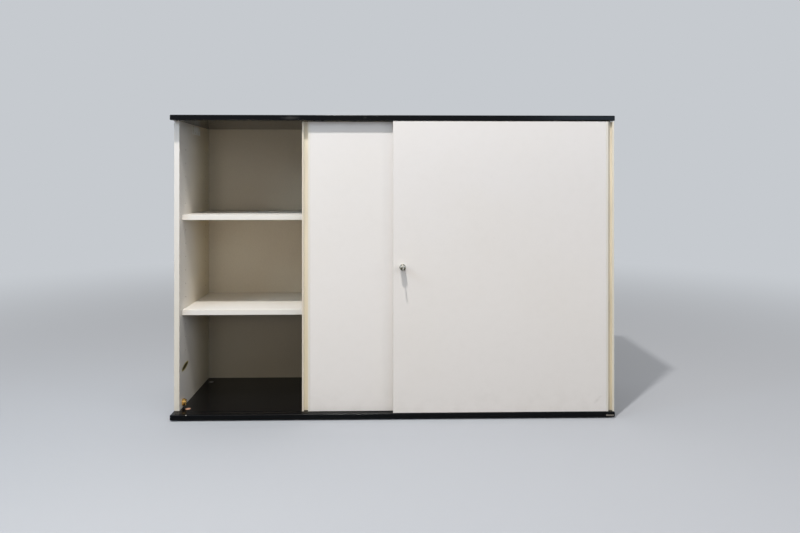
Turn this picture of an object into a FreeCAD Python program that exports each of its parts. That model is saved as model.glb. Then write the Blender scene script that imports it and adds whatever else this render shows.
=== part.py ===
import FreeCAD, Part
import os
import re
import Sketcher

# Office sideboard with two bottom-running sliding doors.
# Millimetres. Origin on the floor under the middle of the boards; +X right, +Y to the back, +Z up.

SIZES = [
    # boards and carcass
    ("cabinet_width", 1600, "length of the top and base boards"),
    ("cabinet_depth", 450, "depth of the top and base boards"),
    ("cabinet_height", 1095, "floor to the top of the top board"),
    ("board_thickness", 19, "top and base boards"),
    ("board_edge_radius", 3, "rounding of the edges of the two boards"),
    ("front_edge_radius", 0.8, "rounding of the front edges of uprights and shelves"),
    ("side_thickness", 19, "side panels"),
    ("side_end_inset", 2, "side panel's outer face behind the end of the boards"),
    ("partition_thickness", 19, "upright in the middle"),
    ("carcass_gap", 3, "rear door to the front edges of the carcass"),
    ("back_thickness", 8, "back panels"),
    ("back_inset", 3, "back panel's rear face inside the rear edge of the boards"),
    ("back_groove_depth", 6, "groove that holds a back panel"),
    ("back_groove_play", 0.4, "groove wider than the back panel"),
    ("back_edge_play", 0.5, "back panel short of the bottom of its groove"),
    # shelves and their pins
    ("shelf_thickness", 19, "shelves"),
    ("shelf_setback", 30, "shelf's front edge behind the carcass front"),
    ("shelf_end_play", 1, "shelf's end to the upright"),
    ("shelf_back_play", 2, "shelf's rear edge to the back panel"),
    ("hole_raster", 50, "spacing of the shelf holes"),
    ("hole_count", 16, "shelf holes in a row"),
    ("first_hole_height", 201.5, "lowest shelf hole above the base board"),
    ("hole_depth", 8.5, "shelf holes"),
    ("front_row_setback", 77, "front row of holes behind the carcass front"),
    ("rear_row_inset", 52, "rear row of holes in front of the back panel"),
    ("lower_shelf_step", 3, "raster steps up to the lower shelf"),
    ("upper_shelf_step", 10, "raster steps up to the upper shelf"),
    ("pin_radius", 2.5, "shelf pins"),
    ("pin_length", 16, "shelf pins, half of it in the upright"),
    ("pin_hole_play", 0.1, "radial play of a pin in its hole"),
    ("pin_slot_play", 0.2, "play beside a pin in the shelf's slot"),
    ("pin_slot_height", 12.5, "slot cut up into the shelf's end"),
    # dowels
    ("dowel_radius", 4, "wooden dowels"),
    ("dowel_length", 32, "wooden dowels"),
    ("dowel_board_depth", 12, "dowel's length in the top or base board"),
    ("dowel_play", 0.1, "radial play of a dowel in its hole"),
    ("dowel_end_gap", 0.5, "hole deeper than the dowel"),
    ("dowel_front_setback", 60, "front dowels behind the carcass front"),
    ("dowel_rear_inset", 60, "rear dowels in front of the rear edge of the boards"),
    # base connectors
    ("connector_radius", 13, "slotted knob on the side panel"),
    ("connector_height", 12, "knob's reach out of the side panel"),
    ("connector_bevel", 3, "bevel round the knob's face"),
    ("connector_stem_radius", 5, "stem in the side panel"),
    ("connector_stem_length", 12, "stem in the side panel"),
    ("connector_stem_play", 0.1, "radial play of the stem"),
    ("connector_setback", 39, "knob behind the carcass front"),
    ("connector_rise", 19, "knob's axis above the base board"),
    ("connector_slot_width", 3, "screwdriver slot"),
    ("connector_slot_depth", 3.5, "screwdriver slot"),
    ("connector_slot_angle", 60, "slot's slope in degrees"),
    # glides and floor caps
    ("glide_height", 4, "glide's foot, floor to base board"),
    ("glide_foot_radius", 15, "glide's foot"),
    ("glide_stem_radius", 4, "glide's threaded stem"),
    ("glide_stem_length", 15, "stem up into the base board"),
    ("glide_stem_play", 0.2, "radial play of the stem"),
    ("glide_end_inset", 46, "corner glides inside the ends of the boards"),
    ("glide_front_setback", 21, "front glides behind the carcass front"),
    ("glide_rear_inset", 68, "rear glides inside the rear edge of the boards"),
    ("cap_radius", 9.5, "cap over the glide's adjusting hole"),
    ("cap_rim", 0.8, "thickness of the cap's rim on the base board"),
    ("cap_plug_radius", 7.4, "cap's plug"),
    ("cap_plug_length", 3, "cap's plug"),
    ("cap_plug_play", 0.1, "radial play of the plug"),
    ("cap_hole_depth", 8, "adjusting hole from the top of the base board"),
    # badge
    ("badge_length", 28, "blank plate on the base board's front edge"),
    ("badge_height", 5.4, "blank plate"),
    ("badge_thickness", 0.5, "blank plate"),
    ("badge_end_inset", 5, "plate's end inside the end of the base board"),
    ("badge_rise", 4.7, "plate above the underside of the base board"),
    # doors
    ("door_thickness", 16, "both doors"),
    ("front_door_setback", 2, "front door's face behind the front edge of the boards"),
    ("door_gap", 7, "front door's back to the rear door's face"),
    ("door_bottom_gap", 1.5, "base board to the doors"),
    ("door_top_gap", 2.5, "doors to the top board"),
    ("door_end_inset", 2.5, "closed door's outer edge inside the end of the boards"),
    ("door_edge_radius", 0.6, "rounding of the door panels' edges"),
    ("front_door_width", 801, "front door, grip profile included"),
    ("rear_door_opening", 465, "how far the rear door stands open"),
    # grip profiles
    ("grip_flange", 7, "flat of the profile beside the door panel"),
    ("grip_groove_width", 15.5, "finger groove"),
    ("grip_groove_depth", 12.5, "finger groove"),
    ("grip_lip", 6, "outer lip"),
    ("grip_tongue_length", 8, "tongue in the door panel's edge"),
    ("grip_tongue_thickness", 3, "tongue in the door panel's edge"),
    ("grip_tongue_play", 0.1, "play beside the tongue"),
    ("grip_tongue_gap", 0.5, "panel's groove deeper than the tongue"),
    # tracks
    ("track_width", 10, "U-shaped tracks"),
    ("track_height", 9, "U-shaped tracks"),
    ("track_groove_width", 6, "groove of a track"),
    ("track_groove_depth", 7, "groove of a track"),
    ("track_end_inset", 15, "track's end inside the end of the boards"),
    ("stop_length", 12, "end stops in the top tracks"),
    ("stop_gap", 0.3, "end stop to the guide at the end of the travel"),
    # rollers
    ("wheel_radius", 11, "rollers"),
    ("wheel_width", 4, "rollers"),
    ("wheel_track_gap", 0.3, "roller to the bottom of the groove"),
    ("wheel_side_play", 0.5, "roller to its housing, each side"),
    ("wheel_rim_play", 1, "roller's rim to its housing"),
    ("wheel_bore_play", 0.05, "radial play of a roller on its axle"),
    ("axle_radius", 2, "roller axles"),
    ("roller_inset", 90, "axles inside the door's edges"),
    ("housing_length", 60, "roller housings"),
    ("housing_height", 26, "roller housings"),
    ("housing_bottom_gap", 1.5, "base board to the roller housings"),
    ("housing_skin", 3, "door's front face to a housing or guide"),
    # top guides
    ("guide_length", 40, "guide block in the door's top edge"),
    ("guide_height", 20, "guide block in the door's top edge"),
    ("guide_inset", 60, "guides inside the door's edges"),
    ("tongue_length", 36, "guide's tongue in the top track"),
    ("tongue_side_play", 0.5, "tongue to the track, each side"),
    ("tongue_top_play", 2, "tongue to the bottom of the groove"),
    # lock
    ("lock_inset", 35, "lock's axis from the front door's inner edge"),
    ("lock_height", 548, "lock's axis above the floor"),
    ("flange_radius", 12, "lock's flange on the door face"),
    ("flange_thickness", 1.5, "lock's flange"),
    ("sleeve_radius", 11, "lock's sleeve in the door"),
    ("barrel_radius", 9.5, "push barrel"),
    ("barrel_play", 0.08, "radial play of the barrel in the sleeve"),
    ("barrel_reach", 30, "unlocked barrel in front of the door face"),
    ("barrel_inside", 8.5, "barrel's full width inside the door"),
    ("barrel_round", 3, "rounding of the barrel's front end"),
    ("barrel_push", 5.5, "travel of the barrel"),
    ("bolt_radius", 4, "bolt on the barrel's end"),
    ("bolt_play", 0.08, "radial play of the bolt in the back plate"),
    ("bolt_door_gap", 1, "pushed bolt to the rear door's face"),
    ("plate_radius", 15, "lock's back plate"),
    ("plate_thickness", 2, "lock's back plate"),
    ("plug_radius", 6, "key plug"),
    ("plug_length", 22, "key plug"),
    ("plug_play", 0.08, "radial play of the plug"),
    ("key_thickness", 2.2, "key"),
    ("key_blade_height", 8, "key's blade"),
    ("key_blade_length", 19, "key's blade in the plug"),
    ("key_slot_play", 0.1, "play round the key's blade"),
    ("key_reach", 26, "key in front of the plug"),
    ("key_bow_radius", 10.5, "key's round bow"),
    ("key_hole_radius", 3, "ring hole in the bow"),
    ("key_hole_inset", 6, "ring hole from the bow's end"),
    ("strike_width", 10, "block that the bolt catches on"),
    ("strike_length", 60, "block that the bolt catches on"),
    ("strike_height", 4, "block's height on the rear door's face"),
    ("strike_bolt_gap", 0.5, "bolt to the block with both doors closed"),
    ("strike_edge_margin", 0.5, "block inside the rear door's edge"),
    ("strike_edge_radius", 0.8, "rounding of the block's edges"),
]

FORMULAS = {
    # heights
    "base_top": "glide_height + board_thickness",
    "top_under": "cabinet_height - board_thickness",
    "panel_height": "top_under - base_top",
    "door_bottom": "base_top + door_bottom_gap",
    "door_height": "top_under - door_top_gap - door_bottom",
    # depths, from the front to the back
    "board_front": "-cabinet_depth / 2",
    "board_rear": "cabinet_depth / 2",
    "front_door_face": "board_front + front_door_setback",
    "rear_door_face": "front_door_face + door_thickness + door_gap",
    "carcass_front": "rear_door_face + door_thickness + carcass_gap",
    "carcass_depth": "board_rear - carcass_front",
    "back_face": "board_rear - back_inset - back_thickness",
    # uprights, from the middle outwards
    "side_outer": "cabinet_width / 2 - side_end_inset",
    "side_inner": "side_outer - side_thickness",
    "side_middle": "side_outer - side_thickness / 2",
    "partition_half": "partition_thickness / 2",
    "bay_width": "side_inner - partition_half",
    # back panels
    "back_reach": "back_groove_depth - back_edge_play",
    "back_width": "bay_width + 2 * back_reach",
    "back_groove_y": "back_face - back_groove_play / 2",
    "back_groove_width": "back_thickness + back_groove_play",
    # shelves
    "front_row": "carcass_front + front_row_setback",
    "rear_row": "back_face - rear_row_inset",
    "shelf_width": "bay_width - 2 * shelf_end_play",
    "shelf_front": "carcass_front + shelf_setback",
    "shelf_depth": "back_face - shelf_back_play - shelf_front",
    "first_hole": "base_top + first_hole_height",
    "pin_reach": "pin_length / 2",
    "slot_length": "pin_reach - shelf_end_play + pin_slot_play",
    "slot_width": "2 * (pin_radius + pin_slot_play)",
    # dowels
    "dowel_front": "carcass_front + dowel_front_setback",
    "dowel_rear": "board_rear - dowel_rear_inset",
    "dowel_hole": "dowel_radius + dowel_play",
    "dowel_board_hole": "dowel_board_depth + dowel_end_gap",
    "dowel_panel_hole": "dowel_length - dowel_board_depth + dowel_end_gap",
    # glides
    "glide_x": "cabinet_width / 2 - glide_end_inset",
    "glide_front": "carcass_front + glide_front_setback",
    "glide_rear": "board_rear - glide_rear_inset",
    # doors
    "closed_edge": "cabinet_width / 2 - door_end_inset",
    "front_door_left": "closed_edge - front_door_width",
    "rear_door_left": "rear_door_opening - closed_edge",
    "lock_x": "front_door_left + lock_inset",
    "strike_closed_left": "lock_x - bolt_radius - strike_bolt_gap - strike_width",
    "rear_door_width": "closed_edge + strike_closed_left + strike_width + strike_edge_margin",
    "fitting_depth": "door_thickness - housing_skin",
    # grip profiles, from the door's outer edge inwards
    "grip_width": "grip_lip + grip_groove_width + grip_flange",
    "tongue_front": "(door_thickness - grip_tongue_thickness) / 2",
    "tongue_groove_front": "tongue_front - grip_tongue_play",
    "tongue_groove_width": "grip_tongue_thickness + 2 * grip_tongue_play",
    "tongue_groove_length": "grip_tongue_length + grip_tongue_gap",
    # tracks
    "track_length": "cabinet_width - 2 * track_end_inset",
    "track_wall": "(track_width - track_groove_width) / 2",
    "stop_inner": "closed_edge - guide_inset + tongue_length / 2 + stop_gap",
    # rollers
    "wheel_height": "base_top - track_groove_depth + wheel_track_gap + wheel_radius",
    "wheel_slot_width": "wheel_width + 2 * wheel_side_play",
    "wheel_slot_front": "door_thickness / 2 - housing_skin - wheel_slot_width / 2",
    "wheel_slot_radius": "wheel_radius + wheel_rim_play",
    "housing_bottom": "base_top + housing_bottom_gap",
    "axle_rise": "wheel_height - housing_bottom",
    "notch_height": "housing_bottom + housing_height - door_bottom",
    # top guides
    "tongue_width": "track_groove_width - 2 * tongue_side_play",
    "tongue_height": "door_top_gap + track_groove_depth - tongue_top_play",
    # lock, from the barrel's front end backwards
    "barrel_front": "front_door_face - barrel_reach",
    "barrel_length": "barrel_reach + barrel_inside",
    "bolt_end": "barrel_reach + door_thickness + door_gap - bolt_door_gap - barrel_push",
    "plug_hole": "plug_radius + plug_play",
    "key_length": "key_reach + key_blade_length",
    "key_slot_width": "key_thickness + 2 * key_slot_play",
    "key_slot_height": "key_blade_height + 2 * key_slot_play",
    "key_slot_depth": "key_blade_length + key_slot_play",
}

doc = FreeCAD.newDocument("sliding_door_cabinet")
sheet = doc.addObject("Spreadsheet::Sheet", "Sizes")
for row, (alias, size, meaning) in enumerate(SIZES, 1):
    sheet.set(f"A{row}", alias)
    sheet.set(f"B{row}", str(size))
    sheet.set(f"C{row}", meaning)
    sheet.setAlias(f"B{row}", alias)
doc.recompute()

ALIASES = {alias for alias, size, meaning in SIZES}
MATHS = {"cos", "sin"}
parts = []


def bound(text):
    """The expression with each name turned into its cell, or into its formula."""

    def replace(match):
        name = match.group()
        if name in FORMULAS:
            return f"({bound(FORMULAS[name])})"
        if name in ALIASES:
            return f"Sizes.{name}"
        if name in MATHS:
            return name
        raise NameError(name)

    return re.sub(r"[a-z]\w+", replace, text)


def put(item, x, y, z):
    """Bind an object's place."""
    for axis, text in zip("xyz", (x, y, z)):
        item.setExpression(f"Placement.Base.{axis}", bound(text))
    return item


def sub_part(item, label):
    """Name an object and list it for export."""
    item.Label = label
    parts.append(item)
    return item


# Sketched bodies


def new_body(label, x="0", y="0", z="0"):
    item = doc.addObject("PartDesign::Body", label)
    put(item, x, y, z)
    return sub_part(item, label)


def origin_feature(body, role):
    return next(item for item in body.Origin.OriginFeatures if item.Role == role)


def rectangle(x, y, width, height):
    """Corners of a rectangle from its lowest corner and its sides."""
    right = f"{x} + {width}"
    top = f"{y} + {height}"
    return [(x, y), (right, y), (right, top), (x, top)]


def constrain(sketch, kind, geometry, point, text):
    index = sketch.addConstraint(Sketcher.Constraint(kind, -1, 1, geometry, point, 1.0))
    sketch.setExpression(f"Constraints[{index}]", bound(text))


def draw_polygon(sketch, corners):
    first = sketch.GeometryCount
    count = len(corners)
    for index in range(count):
        start = FreeCAD.Vector(index, index * index, 0)
        end = FreeCAD.Vector(index + 1, (index + 1) ** 2, 0)
        sketch.addGeometry(Part.LineSegment(start, end))
    for index in range(count):
        following = first + (index + 1) % count
        sketch.addConstraint(Sketcher.Constraint("Coincident", first + index, 2, following, 1))
    for index, (x, y) in enumerate(corners):
        constrain(sketch, "DistanceX", first + index, 1, x)
        constrain(sketch, "DistanceY", first + index, 1, y)


def draw_circle(sketch, x, y, radius):
    circle = Part.Circle(FreeCAD.Vector(1, 1, 0), FreeCAD.Vector(0, 0, 1), 1)
    index = sketch.addGeometry(circle)
    constrain(sketch, "DistanceX", index, 3, x)
    constrain(sketch, "DistanceY", index, 3, y)
    radius_index = sketch.addConstraint(Sketcher.Constraint("Radius", index, 1.0))
    sketch.setExpression(f"Constraints[{radius_index}]", bound(radius))


def new_sketch(body, plane, level, outlines):
    """A sketch on an origin plane of the body, moved by level along the axis across it."""
    sketch = body.newObject("Sketcher::SketchObject", "Sketch")
    sketch.AttachmentSupport = [(origin_feature(body, f"{plane}_Plane"), "")]
    sketch.MapMode = "FlatFace"
    side = "-" if plane == "XZ" else ""
    sketch.setExpression("AttachmentOffset.Base.z", bound(f"{side}({level})"))
    for outline in outlines:
        if isinstance(outline, tuple):
            draw_circle(sketch, *outline)
        else:
            draw_polygon(sketch, outline)
    return sketch


def pad(body, plane, outlines, length, level="0"):
    """Extrude along the positive axis across the plane."""
    sketch = new_sketch(body, plane, level, outlines)
    feature = body.newObject("PartDesign::Pad", "Pad")
    feature.Profile = sketch
    feature.Reversed = plane == "XZ"
    feature.setExpression("Length", bound(length))
    body.Tip = feature
    return feature


def pocket(body, plane, outlines, depth, level="0", forward=True):
    """Cut from the level along the axis across the plane, forward or backward."""
    sketch = new_sketch(body, plane, level, outlines)
    feature = body.newObject("PartDesign::Pocket", "Pocket")
    feature.Profile = sketch
    feature.Reversed = forward != (plane == "XZ")
    feature.setExpression("Length", bound(depth))
    doc.recompute()
    if feature.Shape.Volume >= feature.BaseFeature.Shape.Volume:
        raise ValueError(f"{body.Label}: {feature.Name} cuts nothing")
    body.Tip = feature
    return feature


def revolve(body, plane, outline, axis):
    feature = body.newObject("PartDesign::Revolution", "Revolution")
    feature.Profile = new_sketch(body, plane, "0", [outline])
    feature.ReferenceAxis = (origin_feature(body, f"{axis}_Axis"), [""])
    feature.Angle = 360
    body.Tip = feature
    return feature


def repeat_upwards(body, feature, count, length):
    pattern = body.newObject("PartDesign::LinearPattern", "Raster")
    pattern.Originals = [feature]
    pattern.Direction = (origin_feature(body, "Z_Axis"), [""])
    pattern.setExpression("Occurrences", bound(count))
    pattern.setExpression("Length", bound(length))
    body.Tip = pattern


def round_edges(body, feature, radius, wanted=lambda edge: True):
    doc.recompute()
    numbered = enumerate(feature.Shape.Edges, 1)
    fillet = body.newObject("PartDesign::Fillet", "Rounding")
    fillet.Base = (feature, [f"Edge{number}" for number, edge in numbered if wanted(edge)])
    fillet.setExpression("Radius", bound(radius))
    body.Tip = fillet


def round_front_edges(body, slab, direction):
    """Round the edges of the slab's front face that run along X or Z."""

    def at_front(edge):
        box = edge.BoundBox
        length = {"X": box.XLength, "Z": box.ZLength}[direction]
        return box.YMax < 1e-6 and length > box.DiagonalLength / 2

    round_edges(body, slab, "front_edge_radius", at_front)


# Simple solids


def new_box(label, x, y, z, length, width, height):
    item = doc.addObject("Part::Box", label)
    for name, text in (("Length", length), ("Width", width), ("Height", height)):
        item.setExpression(name, bound(text))
    return put(item, x, y, z)


def new_cylinder(label, x, y, z, radius, length, rotation=FreeCAD.Rotation()):
    item = doc.addObject("Part::Cylinder", label)
    item.Placement = FreeCAD.Placement(FreeCAD.Vector(), rotation)
    item.setExpression("Radius", bound(radius))
    item.setExpression("Height", bound(length))
    return put(item, x, y, z)


def joined(label, items):
    item = doc.addObject("Part::MultiFuse", label)
    item.Shapes = items
    return item


def group(label, items):
    """Separate solids that share a node."""
    item = doc.addObject("Part::Compound", label)
    item.Links = items
    return sub_part(item, label)


# Carcass


def board(label, bottom, inner_level, inwards):
    """Top or base board; its fittings are cut from the face that looks into the cabinet."""
    body = new_body(label, z=bottom)
    outline = rectangle("-cabinet_width / 2", "board_front", "cabinet_width", "cabinet_depth")
    slab = pad(body, "XY", [outline], "board_thickness")
    round_edges(body, slab, "board_edge_radius")
    groove_end = "side_inner + back_groove_depth"
    groove = rectangle(f"-({groove_end})", "back_groove_y", f"2 * ({groove_end})", "back_groove_width")
    pocket(body, "XY", [groove], "back_groove_depth", inner_level, inwards)
    recesses = []
    for face in ("front_door_face", "rear_door_face"):
        front = f"{face} + door_thickness / 2 - track_width / 2"
        recesses.append(rectangle("-track_length / 2", front, "track_length", "track_width"))
    pocket(body, "XY", recesses, "track_height", inner_level, inwards)
    holes = []
    for x in ("-side_middle", "0", "side_middle"):
        for y in ("dowel_front", "dowel_rear"):
            holes.append((x, y, "dowel_hole"))
    pocket(body, "XY", holes, "dowel_board_hole", inner_level, inwards)
    return body


def corner_places():
    for x in ("-glide_x", "glide_x"):
        for y in ("glide_front", "glide_rear"):
            yield x, y


def make_boards():
    board("top_board", "top_under", "0", True)
    base = board("base_board", "glide_height", "board_thickness", False)
    stem_hole = "glide_stem_radius + glide_stem_play"
    centre_depth = "glide_stem_length + dowel_end_gap"
    pocket(base, "XY", [("0", "0", stem_hole)], centre_depth)
    pocket(base, "XY", [(x, y, stem_hole) for x, y in corner_places()], "board_thickness")
    cap_holes = [(x, y, "cap_plug_radius + cap_plug_play") for x, y in corner_places()]
    pocket(base, "XY", cap_holes, "cap_hole_depth", "board_thickness", False)


def upright(label, left, thickness, faces, connector):
    """Side panel or partition; faces lists which of its sides look into a bay."""
    body = new_body(label, left, "carcass_front", "base_top")
    slab = pad(body, "YZ", [rectangle("0", "0", "carcass_depth", "panel_height")], thickness)
    round_front_edges(body, slab, "Z")
    holes = []
    for y in ("dowel_front", "dowel_rear"):
        holes.append((f"{thickness} / 2", f"{y} - carcass_front", "dowel_hole"))
    pocket(body, "XY", holes, "dowel_panel_hole")
    pocket(body, "XY", holes, "dowel_panel_hole", "panel_height", False)
    for face in faces:
        level = "0" if face == "left" else thickness
        inwards = face == "left"
        groove = rectangle("back_groove_y - carcass_front", "0", "back_groove_width", "panel_height")
        pocket(body, "YZ", [groove], "back_groove_depth", level, inwards)
        if connector:
            stem = ("connector_setback", "connector_rise", "connector_stem_radius + connector_stem_play")
            pocket(body, "YZ", [stem], "connector_stem_length + dowel_end_gap", level, inwards)
        lowest = []
        for row in ("front_row", "rear_row"):
            lowest.append((f"{row} - carcass_front", "first_hole_height", "pin_radius + pin_hole_play"))
        first = pocket(body, "YZ", lowest, "hole_depth", level, inwards)
        repeat_upwards(body, first, "hole_count", "(hole_count - 1) * hole_raster")


def make_uprights():
    upright("left_side_panel", "-side_outer", "side_thickness", ["right"], True)
    upright("right_side_panel", "side_inner", "side_thickness", ["left"], True)
    upright("centre_partition", "-partition_half", "partition_thickness", ["left", "right"], False)


BAYS = {"left": "-side_inner", "right": "partition_half"}


def make_back_panels():
    for side, bay_left in BAYS.items():
        label = f"{side}_back_panel"
        left = f"{bay_left} - back_reach"
        height = "panel_height + 2 * back_reach"
        size = ("back_width", "back_thickness", height)
        panel = new_box(label, left, "back_face", "base_top - back_reach", *size)
        sub_part(panel, label)


def pin_height(level):
    return f"first_hole + {level}_shelf_step * hole_raster"


def make_shelves():
    for side, bay_left in BAYS.items():
        for level in ("lower", "upper"):
            underside = f"{pin_height(level)} + pin_radius - pin_slot_height"
            left = f"{bay_left} + shelf_end_play"
            shelf = new_body(f"{side}_{level}_shelf", left, "shelf_front", underside)
            slab = pad(shelf, "XY", [rectangle("0", "0", "shelf_width", "shelf_depth")], "shelf_thickness")
            round_front_edges(shelf, slab, "X")
            slots = []
            for x in ("0", "shelf_width - slot_length"):
                for row in ("front_row", "rear_row"):
                    y = f"{row} - shelf_front - slot_width / 2"
                    slots.append(rectangle(x, y, "slot_length", "slot_width"))
            pocket(shelf, "XY", slots, "pin_slot_height")


ALONG_X = FreeCAD.Rotation(FreeCAD.Vector(0, 1, 0), 90)
ALONG_Y = FreeCAD.Rotation(FreeCAD.Vector(1, 0, 0), -90)


def make_shelf_pins():
    for side, bay_left in BAYS.items():
        pins = []
        for level in ("lower", "upper"):
            for bay_wall in (bay_left, f"{bay_left} + bay_width"):
                for row in ("front_row", "rear_row"):
                    place = (f"{bay_wall} - pin_reach", row, pin_height(level))
                    pins.append(new_cylinder("Pin", *place, "pin_radius", "pin_length", ALONG_X))
        group(f"{side}_shelf_pins", pins)


def make_dowels():
    dowels = []
    for x in ("-side_middle", "0", "side_middle"):
        for y in ("dowel_front", "dowel_rear"):
            for z in ("base_top - dowel_board_depth", "top_under + dowel_board_depth - dowel_length"):
                dowels.append(new_cylinder("Dowel", x, y, z, "dowel_radius", "dowel_length"))
    group("dowels", dowels)


def make_connectors():
    """Slotted knobs near the floor, their stems in the side panels."""
    half = "connector_radius"
    slope = "connector_slot_angle"
    across = "connector_slot_width / 2"
    slot = []
    for along, over in ((1, 1), (1, -1), (-1, -1), (-1, 1)):
        y = f"{along} * {half} * cos({slope}) - {over} * {across} * sin({slope})"
        z = f"{along} * {half} * sin({slope}) + {over} * {across} * cos({slope})"
        slot.append((y, z))
    face = "connector_stem_length + connector_height"
    profile = [
        ("0", "0"),
        ("0", "connector_stem_radius"),
        ("connector_stem_length", "connector_stem_radius"),
        ("connector_stem_length", "connector_radius"),
        (f"{face} - connector_bevel", "connector_radius"),
        (face, "connector_radius - connector_bevel"),
        (face, "0"),
    ]
    stem_end = "side_inner + connector_stem_length"
    turned = {"left": (f"-({stem_end})", 0), "right": (stem_end, 180)}
    for side, (x, angle) in turned.items():
        label = f"{side}_base_connector"
        knob = doc.addObject("PartDesign::Body", label)
        knob.Placement = FreeCAD.Placement(FreeCAD.Vector(), FreeCAD.Rotation(FreeCAD.Vector(0, 0, 1), angle))
        put(knob, x, "carcass_front + connector_setback", "base_top + connector_rise")
        sub_part(knob, label)
        revolve(knob, "XY", profile, "X")
        pocket(knob, "YZ", [slot], "connector_slot_depth", face, False)


def make_glides():
    def glide(x, y):
        foot = new_cylinder("Foot", x, y, "0", "glide_foot_radius", "glide_height")
        stem = new_cylinder("Stem", x, y, "glide_height", "glide_stem_radius", "glide_stem_length")
        return joined("Glide", [foot, stem])

    group("corner_glides", [glide(x, y) for x, y in corner_places()])
    sub_part(glide("0", "0"), "centre_glide")


def make_floor_caps():
    def cap(x, y):
        rim = new_cylinder("Rim", x, y, "base_top", "cap_radius", "cap_rim")
        bottom = "base_top - cap_plug_length"
        plug = new_cylinder("Plug", x, y, bottom, "cap_plug_radius", "cap_plug_length")
        return joined("Cap", [rim, plug])

    front_left, *others = [cap(x, y) for x, y in corner_places()]
    sub_part(front_left, "front_left_floor_cap")
    group("black_floor_caps", others)


def make_badge():
    left = "cabinet_width / 2 - badge_end_inset - badge_length"
    place = (left, "board_front - badge_thickness", "glide_height + badge_rise")
    badge = new_box("blank_badge", *place, "badge_length", "badge_thickness", "badge_height")
    sub_part(badge, "blank_badge")


# Tracks

DOOR_FACES = {"front": "front_door_face", "rear": "rear_door_face"}


def make_tracks():
    """U-shaped tracks sunk flush in the boards, open upwards below and downwards above."""
    groove_right = "track_wall + track_groove_width"
    for name, face in DOOR_FACES.items():
        y = f"{face} + door_thickness / 2 - track_width / 2"
        for height, level in (("bottom", "base_top - track_height"), ("top", "top_under")):
            mouth = "track_height" if height == "bottom" else "0"
            closed = "0" if height == "bottom" else "track_height"
            floor = "track_height - track_groove_depth" if height == "bottom" else "track_groove_depth"
            section = [
                ("0", closed),
                ("track_width", closed),
                ("track_width", mouth),
                (groove_right, mouth),
                (groove_right, floor),
                ("track_wall", floor),
                ("track_wall", mouth),
                ("0", mouth),
            ]
            track = new_body(f"{name}_{height}_track", "-track_length / 2", y, level)
            pad(track, "YZ", [section], "track_length")


def make_end_stops():
    stops = []
    for face in DOOR_FACES.values():
        y = f"{face} + door_thickness / 2 - track_groove_width / 2"
        for x in ("-stop_inner - stop_length", "stop_inner"):
            size = ("stop_length", "track_groove_width", "track_groove_depth")
            stops.append(new_box("Stop", x, y, "top_under", *size))
    group("track_end_stops", stops)


# Doors


def door_panel(door, left, face, width, grip_on_right):
    """Door board without its grip profile; sketched from the door's lower left corner."""
    body = new_body(f"{door}_panel", left, face, "door_bottom")
    start = "0" if grip_on_right else "grip_width"
    slab = pad(body, "XY", [rectangle(start, "0", f"{width} - grip_width", "door_thickness")], "door_height")
    round_edges(body, slab, "door_edge_radius")
    groove_start = f"{width} - grip_width - tongue_groove_length" if grip_on_right else "grip_width"
    groove = rectangle(groove_start, "tongue_groove_front", "tongue_groove_length", "tongue_groove_width")
    pocket(body, "XY", [groove], "door_height")
    housings = []
    guides = []
    for start in ("", f"{width} - "):
        housing_left = f"{start}roller_inset - housing_length / 2"
        housings.append(rectangle(housing_left, "0", "housing_length", "notch_height"))
        guide_left = f"{start}guide_inset - guide_length / 2"
        guides.append(rectangle(guide_left, "door_height - guide_height", "guide_length", "guide_height"))
    pocket(body, "XZ", housings + guides, "fitting_depth", "door_thickness", False)
    return body


def grip_profile(door, left, face, width, grip_on_right):
    """Edge profile with a finger groove over the whole height, and a tongue in the door panel."""
    section = [
        ("0", "0"),
        ("grip_lip", "0"),
        ("grip_lip", "grip_groove_depth"),
        ("grip_lip + grip_groove_width", "grip_groove_depth"),
        ("grip_lip + grip_groove_width", "0"),
        ("grip_width", "0"),
        ("grip_width", "tongue_front"),
        ("grip_width + grip_tongue_length", "tongue_front"),
        ("grip_width + grip_tongue_length", "tongue_front + grip_tongue_thickness"),
        ("grip_width", "tongue_front + grip_tongue_thickness"),
        ("grip_width", "door_thickness"),
        ("0", "door_thickness"),
    ]
    if grip_on_right:
        section = [(f"{width} - ({inwards})", y) for inwards, y in section]
    body = new_body(f"{door}_grip_profile", left, face, "door_bottom")
    pad(body, "XY", [section], "door_height")


def roller(door, side, axle_x, face):
    """A roller on its axle in a plastic housing let into the door's back."""
    front = f"{face} + housing_skin"
    middle = "housing_length / 2"
    housing = new_body(f"{door}_{side}_roller_housing", f"{axle_x} - {middle}", front, "housing_bottom")
    pad(housing, "XZ", [rectangle("0", "0", "housing_length", "housing_height")], "fitting_depth")
    slot_left = f"{middle} - wheel_slot_radius"
    slot = rectangle(slot_left, "0", "2 * wheel_slot_radius", "axle_rise + wheel_slot_radius")
    pocket(housing, "XZ", [slot], "wheel_slot_width", "wheel_slot_front")
    pocket(housing, "XZ", [(middle, "axle_rise", "axle_radius")], "fitting_depth")
    label = f"{door}_{side}_axle"
    place = (axle_x, front, "wheel_height")
    axle = new_cylinder(label, *place, "axle_radius", "fitting_depth", ALONG_Y)
    sub_part(axle, label)
    wheel_front = f"{face} + door_thickness / 2 - wheel_width / 2"
    wheel = new_body(f"{door}_{side}_wheel", axle_x, wheel_front, "wheel_height")
    rings = [("0", "0", "wheel_radius"), ("0", "0", "axle_radius + wheel_bore_play")]
    pad(wheel, "XZ", rings, "wheel_width")


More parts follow.
